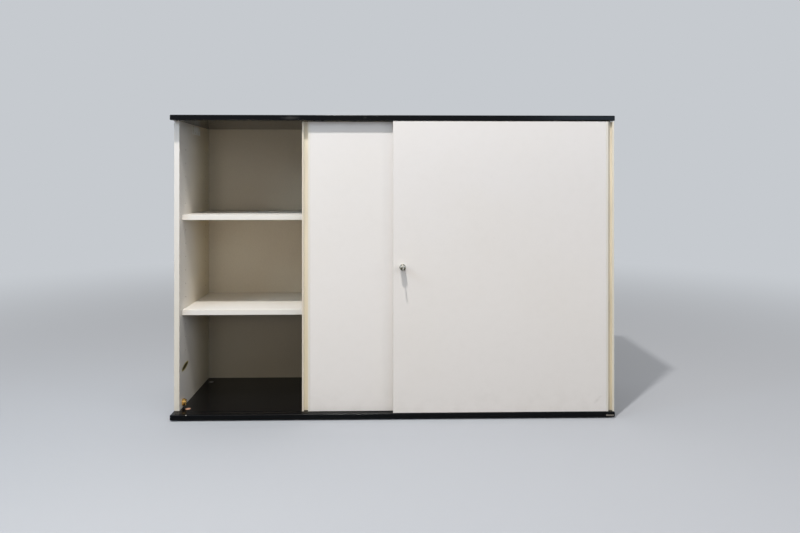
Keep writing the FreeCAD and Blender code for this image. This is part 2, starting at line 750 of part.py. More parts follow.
def top_guide(door, side, middle_x, face):
    """A block in the door's top edge with a tongue that runs in the top track."""
    left = f"{middle_x} - guide_length / 2"
    bottom = "door_bottom + door_height - guide_height"
    body = new_body(f"{door}_{side}_top_guide", left, f"{face} + housing_skin", bottom)
    pad(body, "XY", [rectangle("0", "0", "guide_length", "fitting_depth")], "guide_height")
    tongue_left = "(guide_length - tongue_length) / 2"
    tongue_y = "door_thickness / 2 - housing_skin - tongue_width / 2"
    tongue = rectangle(tongue_left, tongue_y, "tongue_length", "tongue_width")
    pad(body, "XY", [tongue], "tongue_height", "guide_height")


def make_door(door, left, face, width, grip_on_right):
    panel = door_panel(door, left, face, width, grip_on_right)
    grip_profile(door, left, face, width, grip_on_right)
    for side, start, inwards in (("left", left, "+"), ("right", f"{left} + {width}", "-")):
        roller(door, side, f"{start} {inwards} roller_inset", face)
        top_guide(door, side, f"{start} {inwards} guide_inset", face)
    return panel


# Lock


def lock_body(label, front):
    return new_body(label, "lock_x", front, "lock_height")


def make_lock(door):
    """Push barrel in the front door: pushed in, its bolt catches on the rear door's strike."""
    pocket(door, "XZ", [("lock_inset", "lock_height - door_bottom", "sleeve_radius")], "door_thickness")
    sleeve = lock_body("lock_sleeve", "front_door_face - flange_thickness")
    bore = "barrel_radius + barrel_play"
    sleeve_end = "flange_thickness + door_thickness"
    section = [
        ("0", bore),
        ("0", "flange_radius"),
        ("flange_thickness", "flange_radius"),
        ("flange_thickness", "sleeve_radius"),
        (sleeve_end, "sleeve_radius"),
        (sleeve_end, bore),
    ]
    revolve(sleeve, "YZ", section, "Y")

    plate = lock_body("lock_back_plate", "front_door_face + door_thickness")
    pad(plate, "XZ", [("0", "0", "plate_radius"), ("0", "0", "bolt_radius + bolt_play")], "plate_thickness")

    barrel = lock_body("lock_barrel", "barrel_front")
    section = [
        ("0", "plug_hole"),
        ("0", "barrel_radius"),
        ("barrel_length", "barrel_radius"),
        ("barrel_length", "bolt_radius"),
        ("bolt_end", "bolt_radius"),
        ("bolt_end", "0"),
        ("plug_length", "0"),
        ("plug_length", "plug_hole"),
    ]
    turned = revolve(barrel, "YZ", section, "Y")
    doc.recompute()
    widest = max(edge.BoundBox.ZLength for edge in turned.Shape.Edges)

    def front_rim(edge):
        return edge.BoundBox.YMax < 1e-6 and edge.BoundBox.ZLength > widest - 1e-6

    round_edges(barrel, turned, "barrel_round", front_rim)

    plug = lock_body("lock_plug", "barrel_front")
    pad(plug, "XZ", [("0", "0", "plug_radius")], "plug_length")
    slot = rectangle("-key_slot_width / 2", "-key_slot_height / 2", "key_slot_width", "key_slot_height")
    pocket(plug, "XZ", [slot], "key_slot_depth")


def make_key():
    """Flat key, upright in the plug, drawn from the front end of its bow."""
    key = new_body("key", "lock_x - key_thickness / 2", "barrel_front - key_reach", "lock_height")
    pad(key, "YZ", [("key_bow_radius", "0", "key_bow_radius")], "key_thickness")
    stem_length = "key_length - key_bow_radius"
    blade = rectangle("key_bow_radius", "-key_blade_height / 2", stem_length, "key_blade_height")
    pad(key, "YZ", [blade], "key_thickness")
    pocket(key, "YZ", [("key_hole_inset", "0", "key_hole_radius")], "key_thickness")


def make_strike():
    """Block on the rear door's face, just beside the bolt when both doors are closed."""
    x = "strike_closed_left + rear_door_opening"
    strike = new_body("lock_strike", x, "rear_door_face - strike_height", "lock_height - strike_length / 2")
    slab = pad(strike, "XZ", [rectangle("0", "0", "strike_width", "strike_length")], "strike_height")
    round_edges(strike, slab, "strike_edge_radius")


def check_document():
    doc.recompute()
    for item in doc.Objects:
        if "Invalid" in item.State or "Error" in item.State:
            raise ValueError(f"{item.Name} ({item.Label}) failed")
    for item in parts:
        if item.Shape.isNull() or not item.Shape.isValid():
            raise ValueError(f"{item.Label} has no valid shape")


def export_parts():
    os.makedirs("parts", exist_ok=True)
    for item in parts:
        item.Shape.exportStep(f"parts/{item.Label}.step")


make_boards()
make_uprights()
make_back_panels()
make_shelves()
make_shelf_pins()
make_dowels()
make_connectors()
make_glides()
make_floor_caps()
make_badge()
make_tracks()
make_end_stops()
front_panel = make_door("front_door", "front_door_left", "front_door_face", "front_door_width", True)
make_door("rear_door", "rear_door_left", "rear_door_face", "rear_door_width", False)
make_lock(front_panel)
make_key()
make_strike()
check_document()
export_parts()
print(len(parts), "sub-parts written")
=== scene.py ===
import math

import bmesh
import bpy
from mathutils import Matrix, Vector


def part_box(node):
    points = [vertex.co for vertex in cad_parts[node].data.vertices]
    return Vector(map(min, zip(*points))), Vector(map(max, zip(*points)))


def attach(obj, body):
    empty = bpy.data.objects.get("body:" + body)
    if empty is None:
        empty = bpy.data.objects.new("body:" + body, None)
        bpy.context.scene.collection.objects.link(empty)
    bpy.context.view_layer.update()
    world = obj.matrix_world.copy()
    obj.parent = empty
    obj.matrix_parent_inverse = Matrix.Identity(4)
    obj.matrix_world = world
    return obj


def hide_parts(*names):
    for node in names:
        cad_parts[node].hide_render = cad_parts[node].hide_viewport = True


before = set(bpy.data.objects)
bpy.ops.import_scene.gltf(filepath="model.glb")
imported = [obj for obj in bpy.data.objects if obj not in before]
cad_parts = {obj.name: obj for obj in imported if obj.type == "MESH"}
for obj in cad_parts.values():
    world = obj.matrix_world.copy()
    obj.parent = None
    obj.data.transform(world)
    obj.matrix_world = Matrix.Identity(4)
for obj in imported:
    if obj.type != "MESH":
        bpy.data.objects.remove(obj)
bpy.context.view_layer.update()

MM = 0.001


# ---------------------------------------------------------------- colours

SRGB_KNEE, SRGB_SLOPE = 0.04045, 12.92
SRGB_OFFSET, SRGB_POWER = 0.055, 2.4


def rgb(red, green, blue):
    """A display colour, 0 to 255, as the linear colour that a shader takes."""
    parts = []
    for value in (red, green, blue):
        share = value / 255.0
        if share <= SRGB_KNEE:
            parts.append(share / SRGB_SLOPE)
        else:
            parts.append(((share + SRGB_OFFSET) / (1 + SRGB_OFFSET)) ** SRGB_POWER)
    return (*parts, 1.0)


DOOR_WHITE, DOOR_WHITE_PAINTED_LIGHT = rgb(234, 229, 225), rgb(240, 234, 228)
PANEL_WHITE = rgb(233, 229, 223)
SHELF_BAND = rgb(234, 228, 218)
UPRIGHT_BAND, UPRIGHT_BAND_DARKER_LOW = rgb(227, 220, 213), rgb(225, 216, 198)
YELLOWED = rgb(222, 212, 190)
PAINTED_DEPTH_SHADE = rgb(216, 198, 160)
# dirt, and also painted shade inside the cabinet
DIRT_AND_SHADE = rgb(128, 116, 94)
CHIPBOARD, CHIPBOARD_DARK = rgb(138, 102, 64), rgb(74, 50, 30)
BORE_SHADE = rgb(38, 30, 22)
BACK_BEIGE = rgb(214, 201, 178)
BLACK, BLACK_MOTTLE = rgb(12, 12, 13), rgb(13, 12, 12)
BLACK_BAND = rgb(5, 6, 8)
SCUFF_GREY = rgb(104, 104, 103)
DUST = rgb(150, 148, 142)
WHITE_CHIP = rgb(230, 226, 216)
GOUGE_RIM, GOUGE_TORN, GOUGE_DEEP = rgb(200, 184, 24), rgb(150, 134, 6), rgb(34, 28, 0)
GRIP_FACE, PAINTED_LIGHT_GROOVE, DEEP_GROOVE_SHADE = rgb(232, 226, 214), rgb(246, 238, 221), rgb(226, 212, 178)
FRONT_LIP, PAINTED_SHADE_LIP = rgb(233, 225, 208), rgb(225, 213, 194)
NICKEL_PAINTED_HIGHLIGHT = rgb(226, 223, 212)
BEECH_PALE, BEECH_BROWN, BEECH_FLECK = rgb(222, 184, 138), rgb(182, 138, 92), rgb(120, 78, 46)
PAPER_WHITE, PAPER_YELLOWED = rgb(240, 238, 230), rgb(216, 208, 186)
BACKDROP = rgb(198, 202, 207)
FLOOR_SEEN, FLOOR_BOUNCE = rgb(172, 174, 178), rgb(108, 109, 112)
NO_COLOUR = (0.0, 0.0, 0.0, 1.0)


# ---------------------------------------------------------------- shader nodes

MIX_SOCKETS = (0, 6, 7)


class Nodes:
    """Short ways to add nodes to a shader tree and to wire them up."""

    def __init__(self, tree):
        self.tree = tree

    def add(self, kind, **settings):
        node = self.tree.nodes.new(kind)
        for name, value in settings.items():
            setattr(node, name, value)
        return node

    def wire(self, socket, value):
        if isinstance(value, bpy.types.NodeSocket):
            self.tree.links.new(value, socket)
        else:
            socket.default_value = value

    def maths(self, operation, *values, clamp=False):
        node = self.add("ShaderNodeMath", operation=operation, use_clamp=clamp)
        for socket, value in zip(node.inputs, values):
            self.wire(socket, value)
        return node.outputs[0]

    def times(self, *values):
        product = values[0]
        for value in values[1:]:
            product = self.maths("MULTIPLY", product, value)
        return product

    def vector(self, operation, *values):
        node = self.add("ShaderNodeVectorMath", operation=operation)
        for socket, value in zip(node.inputs, values):
            self.wire(socket, value)
        return node.outputs["Value" if operation == "LENGTH" else "Vector"]

    def parts(self, vector):
        node = self.add("ShaderNodeSeparateXYZ")
        self.wire(node.inputs[0], vector)
        return node.outputs[0], node.outputs[1], node.outputs[2]

    def fade(self, value, start, end, curve="SMOOTHSTEP"):
        """0 at start, 1 at end."""
        node = self.add("ShaderNodeMapRange", interpolation_type=curve)
        for name, given in (("Value", value), ("From Min", start), ("From Max", end)):
            self.wire(node.inputs[name], given)
        return node.outputs[0]

    def mix(self, share, first, second):
        node = self.add("ShaderNodeMix", data_type="RGBA")
        for index, value in zip(MIX_SOCKETS, (share, first, second)):
            self.wire(node.inputs[index], value)
        return node.outputs[2]

    def seen_directly(self):
        """1 for rays from the camera, from gloss and through glass, 0 for the light itself."""
        path = self.add("ShaderNodeLightPath")
        total = path.outputs["Is Camera Ray"]
        for name in ("Is Glossy Ray", "Is Transmission Ray"):
            total = self.maths("MAXIMUM", total, path.outputs[name])
        return total


class Finish(Nodes):
    """A procedural material in the cabinet's own coordinates, in metres."""

    def __init__(self, name):
        self.material = bpy.data.materials.new(name)
        self.material.use_nodes = True
        super().__init__(self.material.node_tree)
        self.shader = self.tree.nodes["Principled BSDF"]
        self.place = self.add("ShaderNodeTexCoord").outputs["Object"]

    def mapped(self, kind, location, turn, scale):
        """The place seen through a mapping node."""
        mapping = self.add("ShaderNodeMapping", vector_type=kind)
        self.wire(mapping.inputs["Vector"], self.place)
        self.wire(mapping.inputs["Location"], location)
        self.wire(mapping.inputs["Rotation"], turn)
        self.wire(mapping.inputs["Scale"], scale)
        return mapping.outputs[0]

    def texture(self, kind, vector):
        node = self.add(kind)
        self.wire(node.inputs["Vector"], vector)
        self.wire(node.inputs["Scale"], 1.0)
        return node

    def noise(self, scale, detail, stretch=(1, 1, 1), seed=0.0):
        """Soft noise from 0 to 1, with scale waves to the metre, times the stretch in each direction."""
        location = (seed, seed * 1.7, seed * 2.3)
        node = self.texture("ShaderNodeTexNoise", self.mapped(
            "POINT", location, (0, 0, 0), tuple(scale * part for part in stretch)))
        self.wire(node.inputs["Detail"], detail)
        return node.outputs[0]

    def patches(self, scale, detail, start, end, **where):
        """Noise with its contrast raised: 0 below start, 1 above end."""
        return self.fade(self.noise(scale, detail, **where), start, end)

    def streaks(self, across, along, turn, start, end, seed):
        """Fine straight scratches: thin noise drawn out along one direction of the face."""
        location = (seed, seed * 0.7, seed * 1.3)
        node = self.texture("ShaderNodeTexNoise", self.mapped(
            "TEXTURE", location, turn, (1 / across, 1 / across, 1 / along)))
        self.wire(node.inputs["Detail"], 1.0)
        return self.fade(node.outputs[0], start, end)

    def specks(self, scale, size, seed):
        """Small round dots, of that share of the cell size, at scattered places."""
        node = self.texture("ShaderNodeTexVoronoi", self.mapped(
            "POINT", (seed, seed, seed), (0, 0, 0), (scale, scale, scale)))
        return self.fade(node.outputs["Distance"], size, size * 0.5)

    def mark(self, centre, size, turn=(0, 0, 0), soft=0.5):
        """1 in the middle of an oval spot and 0 outside it."""
        return self.fade(self.vector("LENGTH", self.mapped("TEXTURE", centre, turn, size)), 1.0, soft)

    def stain(self, colour, shade, strength, *masks):
        """The colour, turned to the shade by that strength where all the masks are 1."""
        return self.mix(self.times(*masks, strength), colour, shade)

    def inside(self, low, high):
        """How far a point lies from the nearer of the two faces in x, in y and in z."""
        centre, half = (low + high) / 2, (high - low) / 2
        offset = self.vector("ABSOLUTE", self.vector("SUBTRACT", self.place, tuple(centre)))
        return self.parts(self.vector("SUBTRACT", tuple(half), offset))

    def sheen(self, base, *layers):
        """Roughness: a base value, and (mask, share) pairs that are added to it, up to 1."""
        total = base
        for mask, share in layers:
            total = self.maths("ADD", self.times(mask, share), total, clamp=True)
        return total

    def bump(self, *layers):
        """Relief from (height, depth in metres) pairs."""
        normal = None
        for height, depth in layers:
            node = self.add("ShaderNodeBump")
            self.wire(node.inputs["Height"], height)
            self.wire(node.inputs["Distance"], depth)
            if normal is not None:
                self.wire(node.inputs["Normal"], normal)
            normal = node.outputs[0]
        self.wire(self.shader.inputs["Normal"], normal)

    def done(self, colour, roughness, metallic=0.0, gloss_level=0.5):
        self.wire(self.shader.inputs["Base Color"], colour)
        self.wire(self.shader.inputs["Roughness"], roughness)
        self.shader.inputs["Metallic"].default_value = metallic
        self.shader.inputs["Specular IOR Level"].default_value = gloss_level
        return self.material


# ---------------------------------------------------------------- finishes of the boards

# distances from a surface or an edge: pairs are (start, end) of a fade
BAND_END, BAND_WHOLE = 1.0 * MM, 0.7 * MM
GLUE_NEAR, GLUE_FAR = (0.75 * MM, 0.95 * MM), 1.0 * MM
WHITE_GLUE_END, BLACK_GLUE_END = 1.2 * MM, 1.25 * MM
WHITE_CORE = (0.6 * MM, 0.9 * MM)
BLACK_CORE = (1.3 * MM, 1.7 * MM)
BORE_SHADOW = (1.0 * MM, 4.0 * MM)
WORN_REACH, ARRIS_REACH, BACK_EDGE_DARK_REACH = 9 * MM, (1.6 * MM, 0.2 * MM), 14 * MM
BACK_INNER_FACE = (2 * MM, 1 * MM)

# places in the cabinet: x in the middle of a side panel, y from front to back, z from the floor
SIDE_PANEL_MIDDLE = (789 * MM, 788 * MM)
DEPTH_SHADE_SPAN = (-0.17, 0.16)
SHADED_HEIGHTS, DOOR_LIGHT_HEIGHTS, BAND_SHADE_HEIGHTS = (0.7, 0.1), (0.95, 0.35), (1.0, 0.1)
LOW_BAY_SHADE_HEIGHTS, HIGH_BAY_SHADE_HEIGHTS = (383 * MM, 366 * MM), (715 * MM, 733 * MM)

# how strongly each kind of wear and painted shade shows, from 0 to 1
CLOUD_YELLOWING, MOTTLE_GRIME, PEARL_GRIME = 0.10, 0.012, 0.03
BAND_STRENGTH, WHITE_GLUE, BLACK_GLUE = 0.75, 0.5, 0.12
WORN_EDGE, DIRTY_FOOT, WHITE_SCRATCHES = 0.14, 0.07, 0.06
BLACK_PEARL, RUBBED_ARRIS, BLACK_SCRATCHES, SETTLED_DUST = 0.008, 0.30, 0.06, 0.07
BACK_YELLOWING, BACK_WEAVE, BACK_EDGE_DARKENING, BACK_SCRATCHES = 0.35, 0.07, 0.3, 0.2
LOW_BAY_SHADE_STRENGTH, HIGH_BAY_SHADE_STRENGTH = 0.50, 0.30


def board_edges(finish, low, high):
    """Distance to the nearest edge of a board, depth below its surfaces, and the distances in x, y and z."""
    x, y, z = finish.inside(low, high)
    total = finish.maths("ADD", finish.maths("ADD", x, y), z)
    largest = finish.maths("MAXIMUM", finish.maths("MAXIMUM", x, y), z)
    smallest = finish.maths("MINIMUM", finish.maths("MINIMUM", x, y), z)
    return finish.maths("SUBTRACT", total, largest), smallest, (x, y, z)


def glue_line(finish, distance, end):
    """The hair-thin line between an edge band and the board."""
    return finish.times(finish.fade(distance, *GLUE_NEAR), finish.fade(distance, end, GLUE_FAR))


def chipboard(finish):
    return finish.mix(finish.patches(700, 3, 0.4, 0.62), CHIPBOARD_DARK, CHIPBOARD)


def white_laminate(node, seed, marks, face=PANEL_WHITE, lower_face_lit=None, band=SHELF_BAND, band_lower_shade=None,
                   grime_height=0.12, all_banded=False, painted_depth_shade=0.0, shaded=0.0):
    """Pearl-grained melamine board with glued edge bands, a little yellowed and scuffed with age, and painted shade
    and painted light where the arguments give them.
    """
    finish = Finish(node + "_finish")
    low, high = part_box(node)
    edge, buried, (x, _, z) = board_edges(finish, low, high)
    place_x, place_y, place_z = finish.parts(finish.place)

    cloud = finish.noise(2.2, 3, seed=seed)
    mottle = finish.noise(38, 4, seed=seed + 3)
    pearl = finish.noise(1150, 1)
    # painted light: the door faces are painted lighter lower down
    if lower_face_lit:
        face = finish.mix(finish.fade(place_z, *DOOR_LIGHT_HEIGHTS), face, lower_face_lit)
    colour = finish.stain(face, YELLOWED, CLOUD_YELLOWING, finish.fade(cloud, 0.35, 0.75))
    colour = finish.stain(colour, DIRT_AND_SHADE, MOTTLE_GRIME, finish.fade(mottle, 0.42, 0.7))
    colour = finish.stain(colour, DIRT_AND_SHADE, PEARL_GRIME, finish.fade(pearl, 0.45, 0.75))
    # painted shade inside the cabinet: warmer and darker towards the back, and on the uprights' inner faces darker
    # towards the bottom
    if painted_depth_shade:
        inner = finish.fade(finish.maths("ABSOLUTE", place_x), *SIDE_PANEL_MIDDLE)
        colour = finish.stain(colour, PAINTED_DEPTH_SHADE, painted_depth_shade, inner, finish.fade(place_y, *DEPTH_SHADE_SPAN))
        colour = finish.stain(colour, DIRT_AND_SHADE, shaded, inner, finish.fade(place_z, *SHADED_HEIGHTS))

    # the edge band is a strip of plastic with a thin dark glue line behind it: at the front, or all round
    from_band = finish.maths("MINIMUM", x, z) if all_banded else finish.maths("SUBTRACT", place_y, low.y)
    # painted shade: the uprights' bands turn darker towards the bottom, and yellower
    if band_lower_shade:
        band = finish.mix(finish.fade(place_z, *BAND_SHADE_HEIGHTS), band, band_lower_shade)
    colour = finish.stain(colour, band, BAND_STRENGTH, finish.fade(from_band, BAND_END, BAND_WHOLE))
    glue = glue_line(finish, from_band, WHITE_GLUE_END)
    colour = finish.stain(colour, DIRT_AND_SHADE, WHITE_GLUE, glue)

    # handling: the edges are a little yellowed, the foot of the board a little dirty
    worn = finish.times(finish.fade(edge, WORN_REACH, 0.0), finish.patches(55, 3, 0.4, 0.75, seed=seed + 7))
    colour = finish.stain(colour, YELLOWED, WORN_EDGE, worn)
    foot = finish.fade(place_z, low.z + grime_height, low.z)
    colour = finish.stain(colour, DIRT_AND_SHADE, DIRTY_FOOT, foot, finish.patches(24, 5, 0.38, 0.8, seed=seed + 9))
    scratch = finish.streaks(900, 14, (0.3, 0.5, 0.2), 0.735, 0.80, seed + 1.0)
    scuff = finish.streaks(260, 9, (0.1, -0.7, 0.4), 0.72, 0.84, seed + 2.0)
    colour = finish.stain(colour, DIRT_AND_SHADE, WHITE_SCRATCHES, finish.maths("MAXIMUM", scratch, scuff))
    for centre, size, turn, strength, shade in marks:
        ragged = finish.patches(150, 3, 0.12, 0.36, seed=seed + centre[0])
        spot = finish.mark(centre, size, turn, soft=0.7 if strength > 0.5 else 0.0)
        colour = finish.stain(colour, shade, strength, spot, ragged)

    # a bore shows the chipboard core, with painted shade deeper in
    core = finish.fade(buried, *WHITE_CORE)
    chips = finish.mix(finish.fade(buried, *BORE_SHADOW), chipboard(finish), BORE_SHADE)
    colour = finish.mix(core, colour, chips)

    gloss = finish.sheen(0.33, (mottle, 0.16), (finish.maths("MAXIMUM", worn, scuff), 0.15), (core, 0.4))
    finish.bump(
        (pearl, 0.035 * MM), (finish.noise(95, 1), 0.08 * MM), (scratch, -0.02 * MM), (glue, -0.05 * MM))
    return finish.done(colour, gloss)


def black_laminate(node, seed, chips=(), smears=(), gloss_level=0.17):
    """Black pearl-grained laminate board with black edge bands, rubbed and dusty."""
    finish = Finish(node + "_finish")
    low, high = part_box(node)
    edge, buried, (x, y, _) = board_edges(finish, low, high)
    from_band = finish.maths("MINIMUM", x, y)

    cloud = finish.noise(3.0, 3, seed=seed)
    mottle = finish.noise(34, 4, seed=seed + 3)
    pearl = finish.noise(900, 2)
    colour = finish.mix(finish.fade(mottle, 0.3, 0.8), BLACK, BLACK_MOTTLE)
    colour = finish.stain(colour, SCUFF_GREY, BLACK_PEARL, finish.fade(pearl, 0.55, 0.8))
    colour = finish.mix(finish.fade(from_band, BAND_END, BAND_WHOLE), colour, BLACK_BAND)
    colour = finish.stain(colour, SCUFF_GREY, BLACK_GLUE, glue_line(finish, from_band, BLACK_GLUE_END))

    # the arris is rubbed lighter, more in some places than in others
    arris = finish.fade(edge, *ARRIS_REACH)
    patchy = finish.patches(20, 4, 0.2, 0.62, stretch=(1, 3, 3), seed=seed + 5)
    colour = finish.stain(colour, SCUFF_GREY, RUBBED_ARRIS, arris, patchy)
    scratch = finish.streaks(1100, 11, (0.2, 1.2, 0.6), 0.71, 0.78, seed + 1.0)
    colour = finish.stain(colour, SCUFF_GREY, BLACK_SCRATCHES, scratch)
    dust = finish.times(finish.specks(110, 0.10, seed), finish.fade(cloud, 0.45, 0.7))
    colour = finish.stain(colour, DUST, SETTLED_DUST, dust)
    for centre, size, strength, shade in chips:
        uneven = finish.patches(900, 2, 0.34, 0.44, seed=seed)
        colour = finish.stain(colour, shade, strength, finish.mark(centre, size), uneven)
    for centre, size, strength in smears:
        wiped = finish.patches(220, 3, 0.3, 0.65, stretch=(0.2, 1, 1))
        colour = finish.stain(colour, DUST, strength, finish.mark(centre, size, soft=0.2), wiped)

    core = finish.fade(buried, *BLACK_CORE)
    colour = finish.mix(core, colour, chipboard(finish))
    gloss = finish.sheen(0.15, (mottle, 0.08), (dust, 0.2), (core, 0.4))
    finish.bump((pearl, 0.01 * MM), (finish.noise(60, 1), 0.05 * MM), (scratch, -0.01 * MM))
    return finish.done(colour, gloss, gloss_level=gloss_level)


def back_laminate(node, seed):
    """Thin hardboard with a beige foil, smooth, with a faint pressed grain, and painted shade inside the lower and
    upper bays.
    """
    finish = Finish(node + "_finish")
    low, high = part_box(node)
    edge, _, _ = board_edges(finish, low, high)
    cloud = finish.noise(3.4, 3, seed=seed)
    weave = finish.noise(520, 2, stretch=(1, 1, 0.25), seed=seed)
    colour = finish.stain(BACK_BEIGE, YELLOWED, BACK_YELLOWING, finish.fade(cloud, 0.3, 0.75))
    colour = finish.stain(colour, DIRT_AND_SHADE, BACK_WEAVE, finish.fade(weave, 0.45, 0.7))
    # darker in patches near the edges
    rub = finish.patches(30, 4, 0.4, 0.7, seed=seed)
    colour = finish.stain(colour, DIRT_AND_SHADE, BACK_EDGE_DARKENING, finish.fade(edge, BACK_EDGE_DARK_REACH, 0.0), rub)

    # painted shade: inside, the foil is painted darker below the lower shelf and above the upper one
    _, place_y, place_z = finish.parts(finish.place)
    inner = finish.fade(place_y, low.y + BACK_INNER_FACE[0], low.y + BACK_INNER_FACE[1])
    low_bay_shade = finish.times(finish.fade(place_z, *LOW_BAY_SHADE_HEIGHTS), LOW_BAY_SHADE_STRENGTH)
    high_bay_shade = finish.times(finish.fade(place_z, *HIGH_BAY_SHADE_HEIGHTS), HIGH_BAY_SHADE_STRENGTH)
    painted_shade = finish.times(finish.maths("ADD", low_bay_shade, high_bay_shade), inner)
    colour = finish.mix(painted_shade, colour, DIRT_AND_SHADE)
    scratch = finish.streaks(700, 12, (0.4, 0.9, 0.2), 0.73, 0.8, seed + 1.0)
    colour = finish.stain(colour, DIRT_AND_SHADE, BACK_SCRATCHES, scratch)
    finish.bump((weave, 0.03 * MM), (scratch, -0.02 * MM))
    return finish.done(colour, finish.sheen(0.36, (cloud, 0.14)))


# ---------------------------------------------------------------- finishes of the other parts

LIP_EDGE = (6.6 * MM, 5.8 * MM)
GROOVE_WALL, GROOVE_FLOOR = (0.4 * MM, 3.5 * MM), (8 * MM, 12.4 * MM)
GROOVE_HEIGHTS = (1.0, 0.05)
SHADE_LOWER_SHARE, SHADE_EVERYWHERE_SHARE = 0.45, 0.1
GRIP_LINES, GRIP_HANDS, GRIP_SCRATCHES = 0.08, 0.16, 0.2
PALE_GRAINS, PALE_CLOUDS, PALE_SCRATCHES = 0.3, 0.25, 0.3
TOOL_LINES, PAINTED_HIGHLIGHT_STRENGTH, DULL_SCRATCHES = 0.15, 0.9, 0.2
BEECH_FLECKS, PAPER_FIBRES = 0.5, 0.15


def grip_plastic(node, lip_side, lip_colour):
    """Extruded beige profile: painted light on the groove's faces, painted shade deep in the groove and heavier
    lower down, and a lip colour of its own.
    """
    finish = Finish(node + "_finish")
    low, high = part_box(node)
    place_x, place_y, place_z = finish.parts(finish.place)
    outer_edge = low.x if lip_side < 0 else high.x
    from_lip = finish.maths("ABSOLUTE", finish.maths("SUBTRACT", place_x, outer_edge))
    face = finish.mix(finish.fade(from_lip, *LIP_EDGE), GRIP_FACE, lip_colour)
    # painted light: the groove's faces are painted paler than the front faces
    sunk = finish.fade(place_y, low.y + GROOVE_WALL[0], low.y + GROOVE_WALL[1])
    colour = finish.mix(sunk, face, PAINTED_LIGHT_GROOVE)
    # painted shade deep in the groove, heavier towards the bottom
    deep = finish.fade(place_y, low.y + GROOVE_FLOOR[0], low.y + GROOVE_FLOOR[1])
    lower = finish.fade(place_z, *GROOVE_HEIGHTS)
    painted_shade = finish.times(finish.maths("ADD", finish.times(lower, SHADE_LOWER_SHARE), SHADE_EVERYWHERE_SHARE), deep)
    colour = finish.mix(painted_shade, colour, DEEP_GROOVE_SHADE)
    line = finish.noise(1500, 1, stretch=(1, 1, 0.0012))
    cloud = finish.noise(9, 4, stretch=(1, 1, 0.5))
    colour = finish.stain(colour, DIRT_AND_SHADE, GRIP_LINES, finish.fade(line, 0.4, 0.7))
    colour = finish.stain(colour, DIRT_AND_SHADE, GRIP_HANDS, finish.fade(cloud, 0.42, 0.75), sunk)
    scratch = finish.streaks(1300, 16, (0.2, 0.25, 0.0), 0.72, 0.8, 1.0)
    colour = finish.stain(colour, DIRT_AND_SHADE, GRIP_SCRATCHES, scratch)
    finish.bump((line, 0.02 * MM), (finish.noise(60, 1), 0.06 * MM), (scratch, -0.02 * MM))
    return finish.done(colour, finish.sheen(0.28, (cloud, 0.2)))


def moulded_plastic(name, colour, pale, gloss=0.38):
    """Injection-moulded plastic with a fine spark-eroded grain and rubbed dust."""
    finish = Finish(name)
    grains = finish.noise(420, 3)
    colour = finish.stain(colour, pale, PALE_GRAINS, finish.fade(grains, 0.4, 0.75))
    colour = finish.stain(colour, pale, PALE_CLOUDS, finish.patches(25, 3, 0.45, 0.75))
    scratch = finish.streaks(1200, 30, (0.5, 0.8, 0.3), 0.7, 0.78, 1.0)
    colour = finish.stain(colour, pale, PALE_SCRATCHES, scratch)
    finish.bump((grains, 0.05 * MM), (scratch, -0.02 * MM))
    return finish.done(colour, finish.sheen(gloss - 0.08, (grains, 0.22)))


def plated_metal(name, colour, tarnish, gloss, brushed=(1, 1, 1), stained=0.5, painted_highlight=None):
    """Plated metal with fine tool lines, cloudy tarnish and small scratches.

    Where the last argument is given as (start, end, colour), a painted highlight of that colour covers its upper
    side, fading in between those heights.
    """
    finish = Finish(name)
    lines = finish.noise(2600, 2, stretch=brushed)
    cloud = finish.noise(120, 4)
    colour = finish.stain(colour, tarnish, stained, finish.fade(cloud, 0.42, 0.75))
    colour = finish.stain(colour, tarnish, TOOL_LINES, finish.fade(lines, 0.45, 0.75))
    # painted highlight: the upper side is painted bright
    if painted_highlight:
        start, end, bright = painted_highlight
        _, _, place_z = finish.parts(finish.place)
        colour = finish.stain(colour, bright, PAINTED_HIGHLIGHT_STRENGTH, finish.fade(place_z, start, end))
    scratch = finish.streaks(3000, 120, (0.4, 0.6, 0.9), 0.68, 0.75, 1.0)
    colour = finish.stain(colour, tarnish, DULL_SCRATCHES, scratch)
    finish.bump((lines, 0.006 * MM), (scratch, -0.008 * MM))
    return finish.done(colour, finish.sheen(gloss - 0.04, (cloud, 0.16), (scratch, 0.2)), metallic=1.0)


def beech_wood(name):
    """Fluted beech dowel: fine flecked grain along z."""
    finish = Finish(name)
    fibre = finish.noise(900, 4, stretch=(1, 1, 0.06))
    colour = finish.mix(finish.fade(fibre, 0.35, 0.7), BEECH_PALE, BEECH_BROWN)
    fleck = finish.patches(2200, 1, 0.6, 0.75, stretch=(1, 1, 0.2))
    colour = finish.stain(colour, BEECH_FLECK, BEECH_FLECKS, fleck)
    finish.bump((fibre, 0.06 * MM))
    return finish.done(colour, finish.sheen(0.5, (fibre, 0.2)))


def paper(name):
    """A blank paper sticker, yellowed, with soft fibres."""
    finish = Finish(name)
    fibre = finish.noise(1800, 3, stretch=(1, 1, 0.4))
    cloud = finish.noise(60, 4)
    colour = finish.mix(finish.fade(cloud, 0.4, 0.75), PAPER_WHITE, PAPER_YELLOWED)
    colour = finish.stain(colour, DIRT_AND_SHADE, PAPER_FIBRES, finish.fade(fibre, 0.5, 0.75))
    finish.bump((fibre, 0.03 * MM), (cloud, 0.1 * MM))
    return finish.done(colour, finish.sheen(0.55, (fibre, 0.2)))


# ---------------------------------------------------------------- shapes

SAME_POINT = 0.002 * MM
SHARP_FROM = math.radians(32)
ON_AXIS = 1e-9
ROUND_STEPS = 64
EDGE_ROUNDING_STEPS = 2


def place_in_scene(name, data):
    made = bpy.data.objects.new(name, data)
    bpy.context.scene.collection.objects.link(made)
    return made


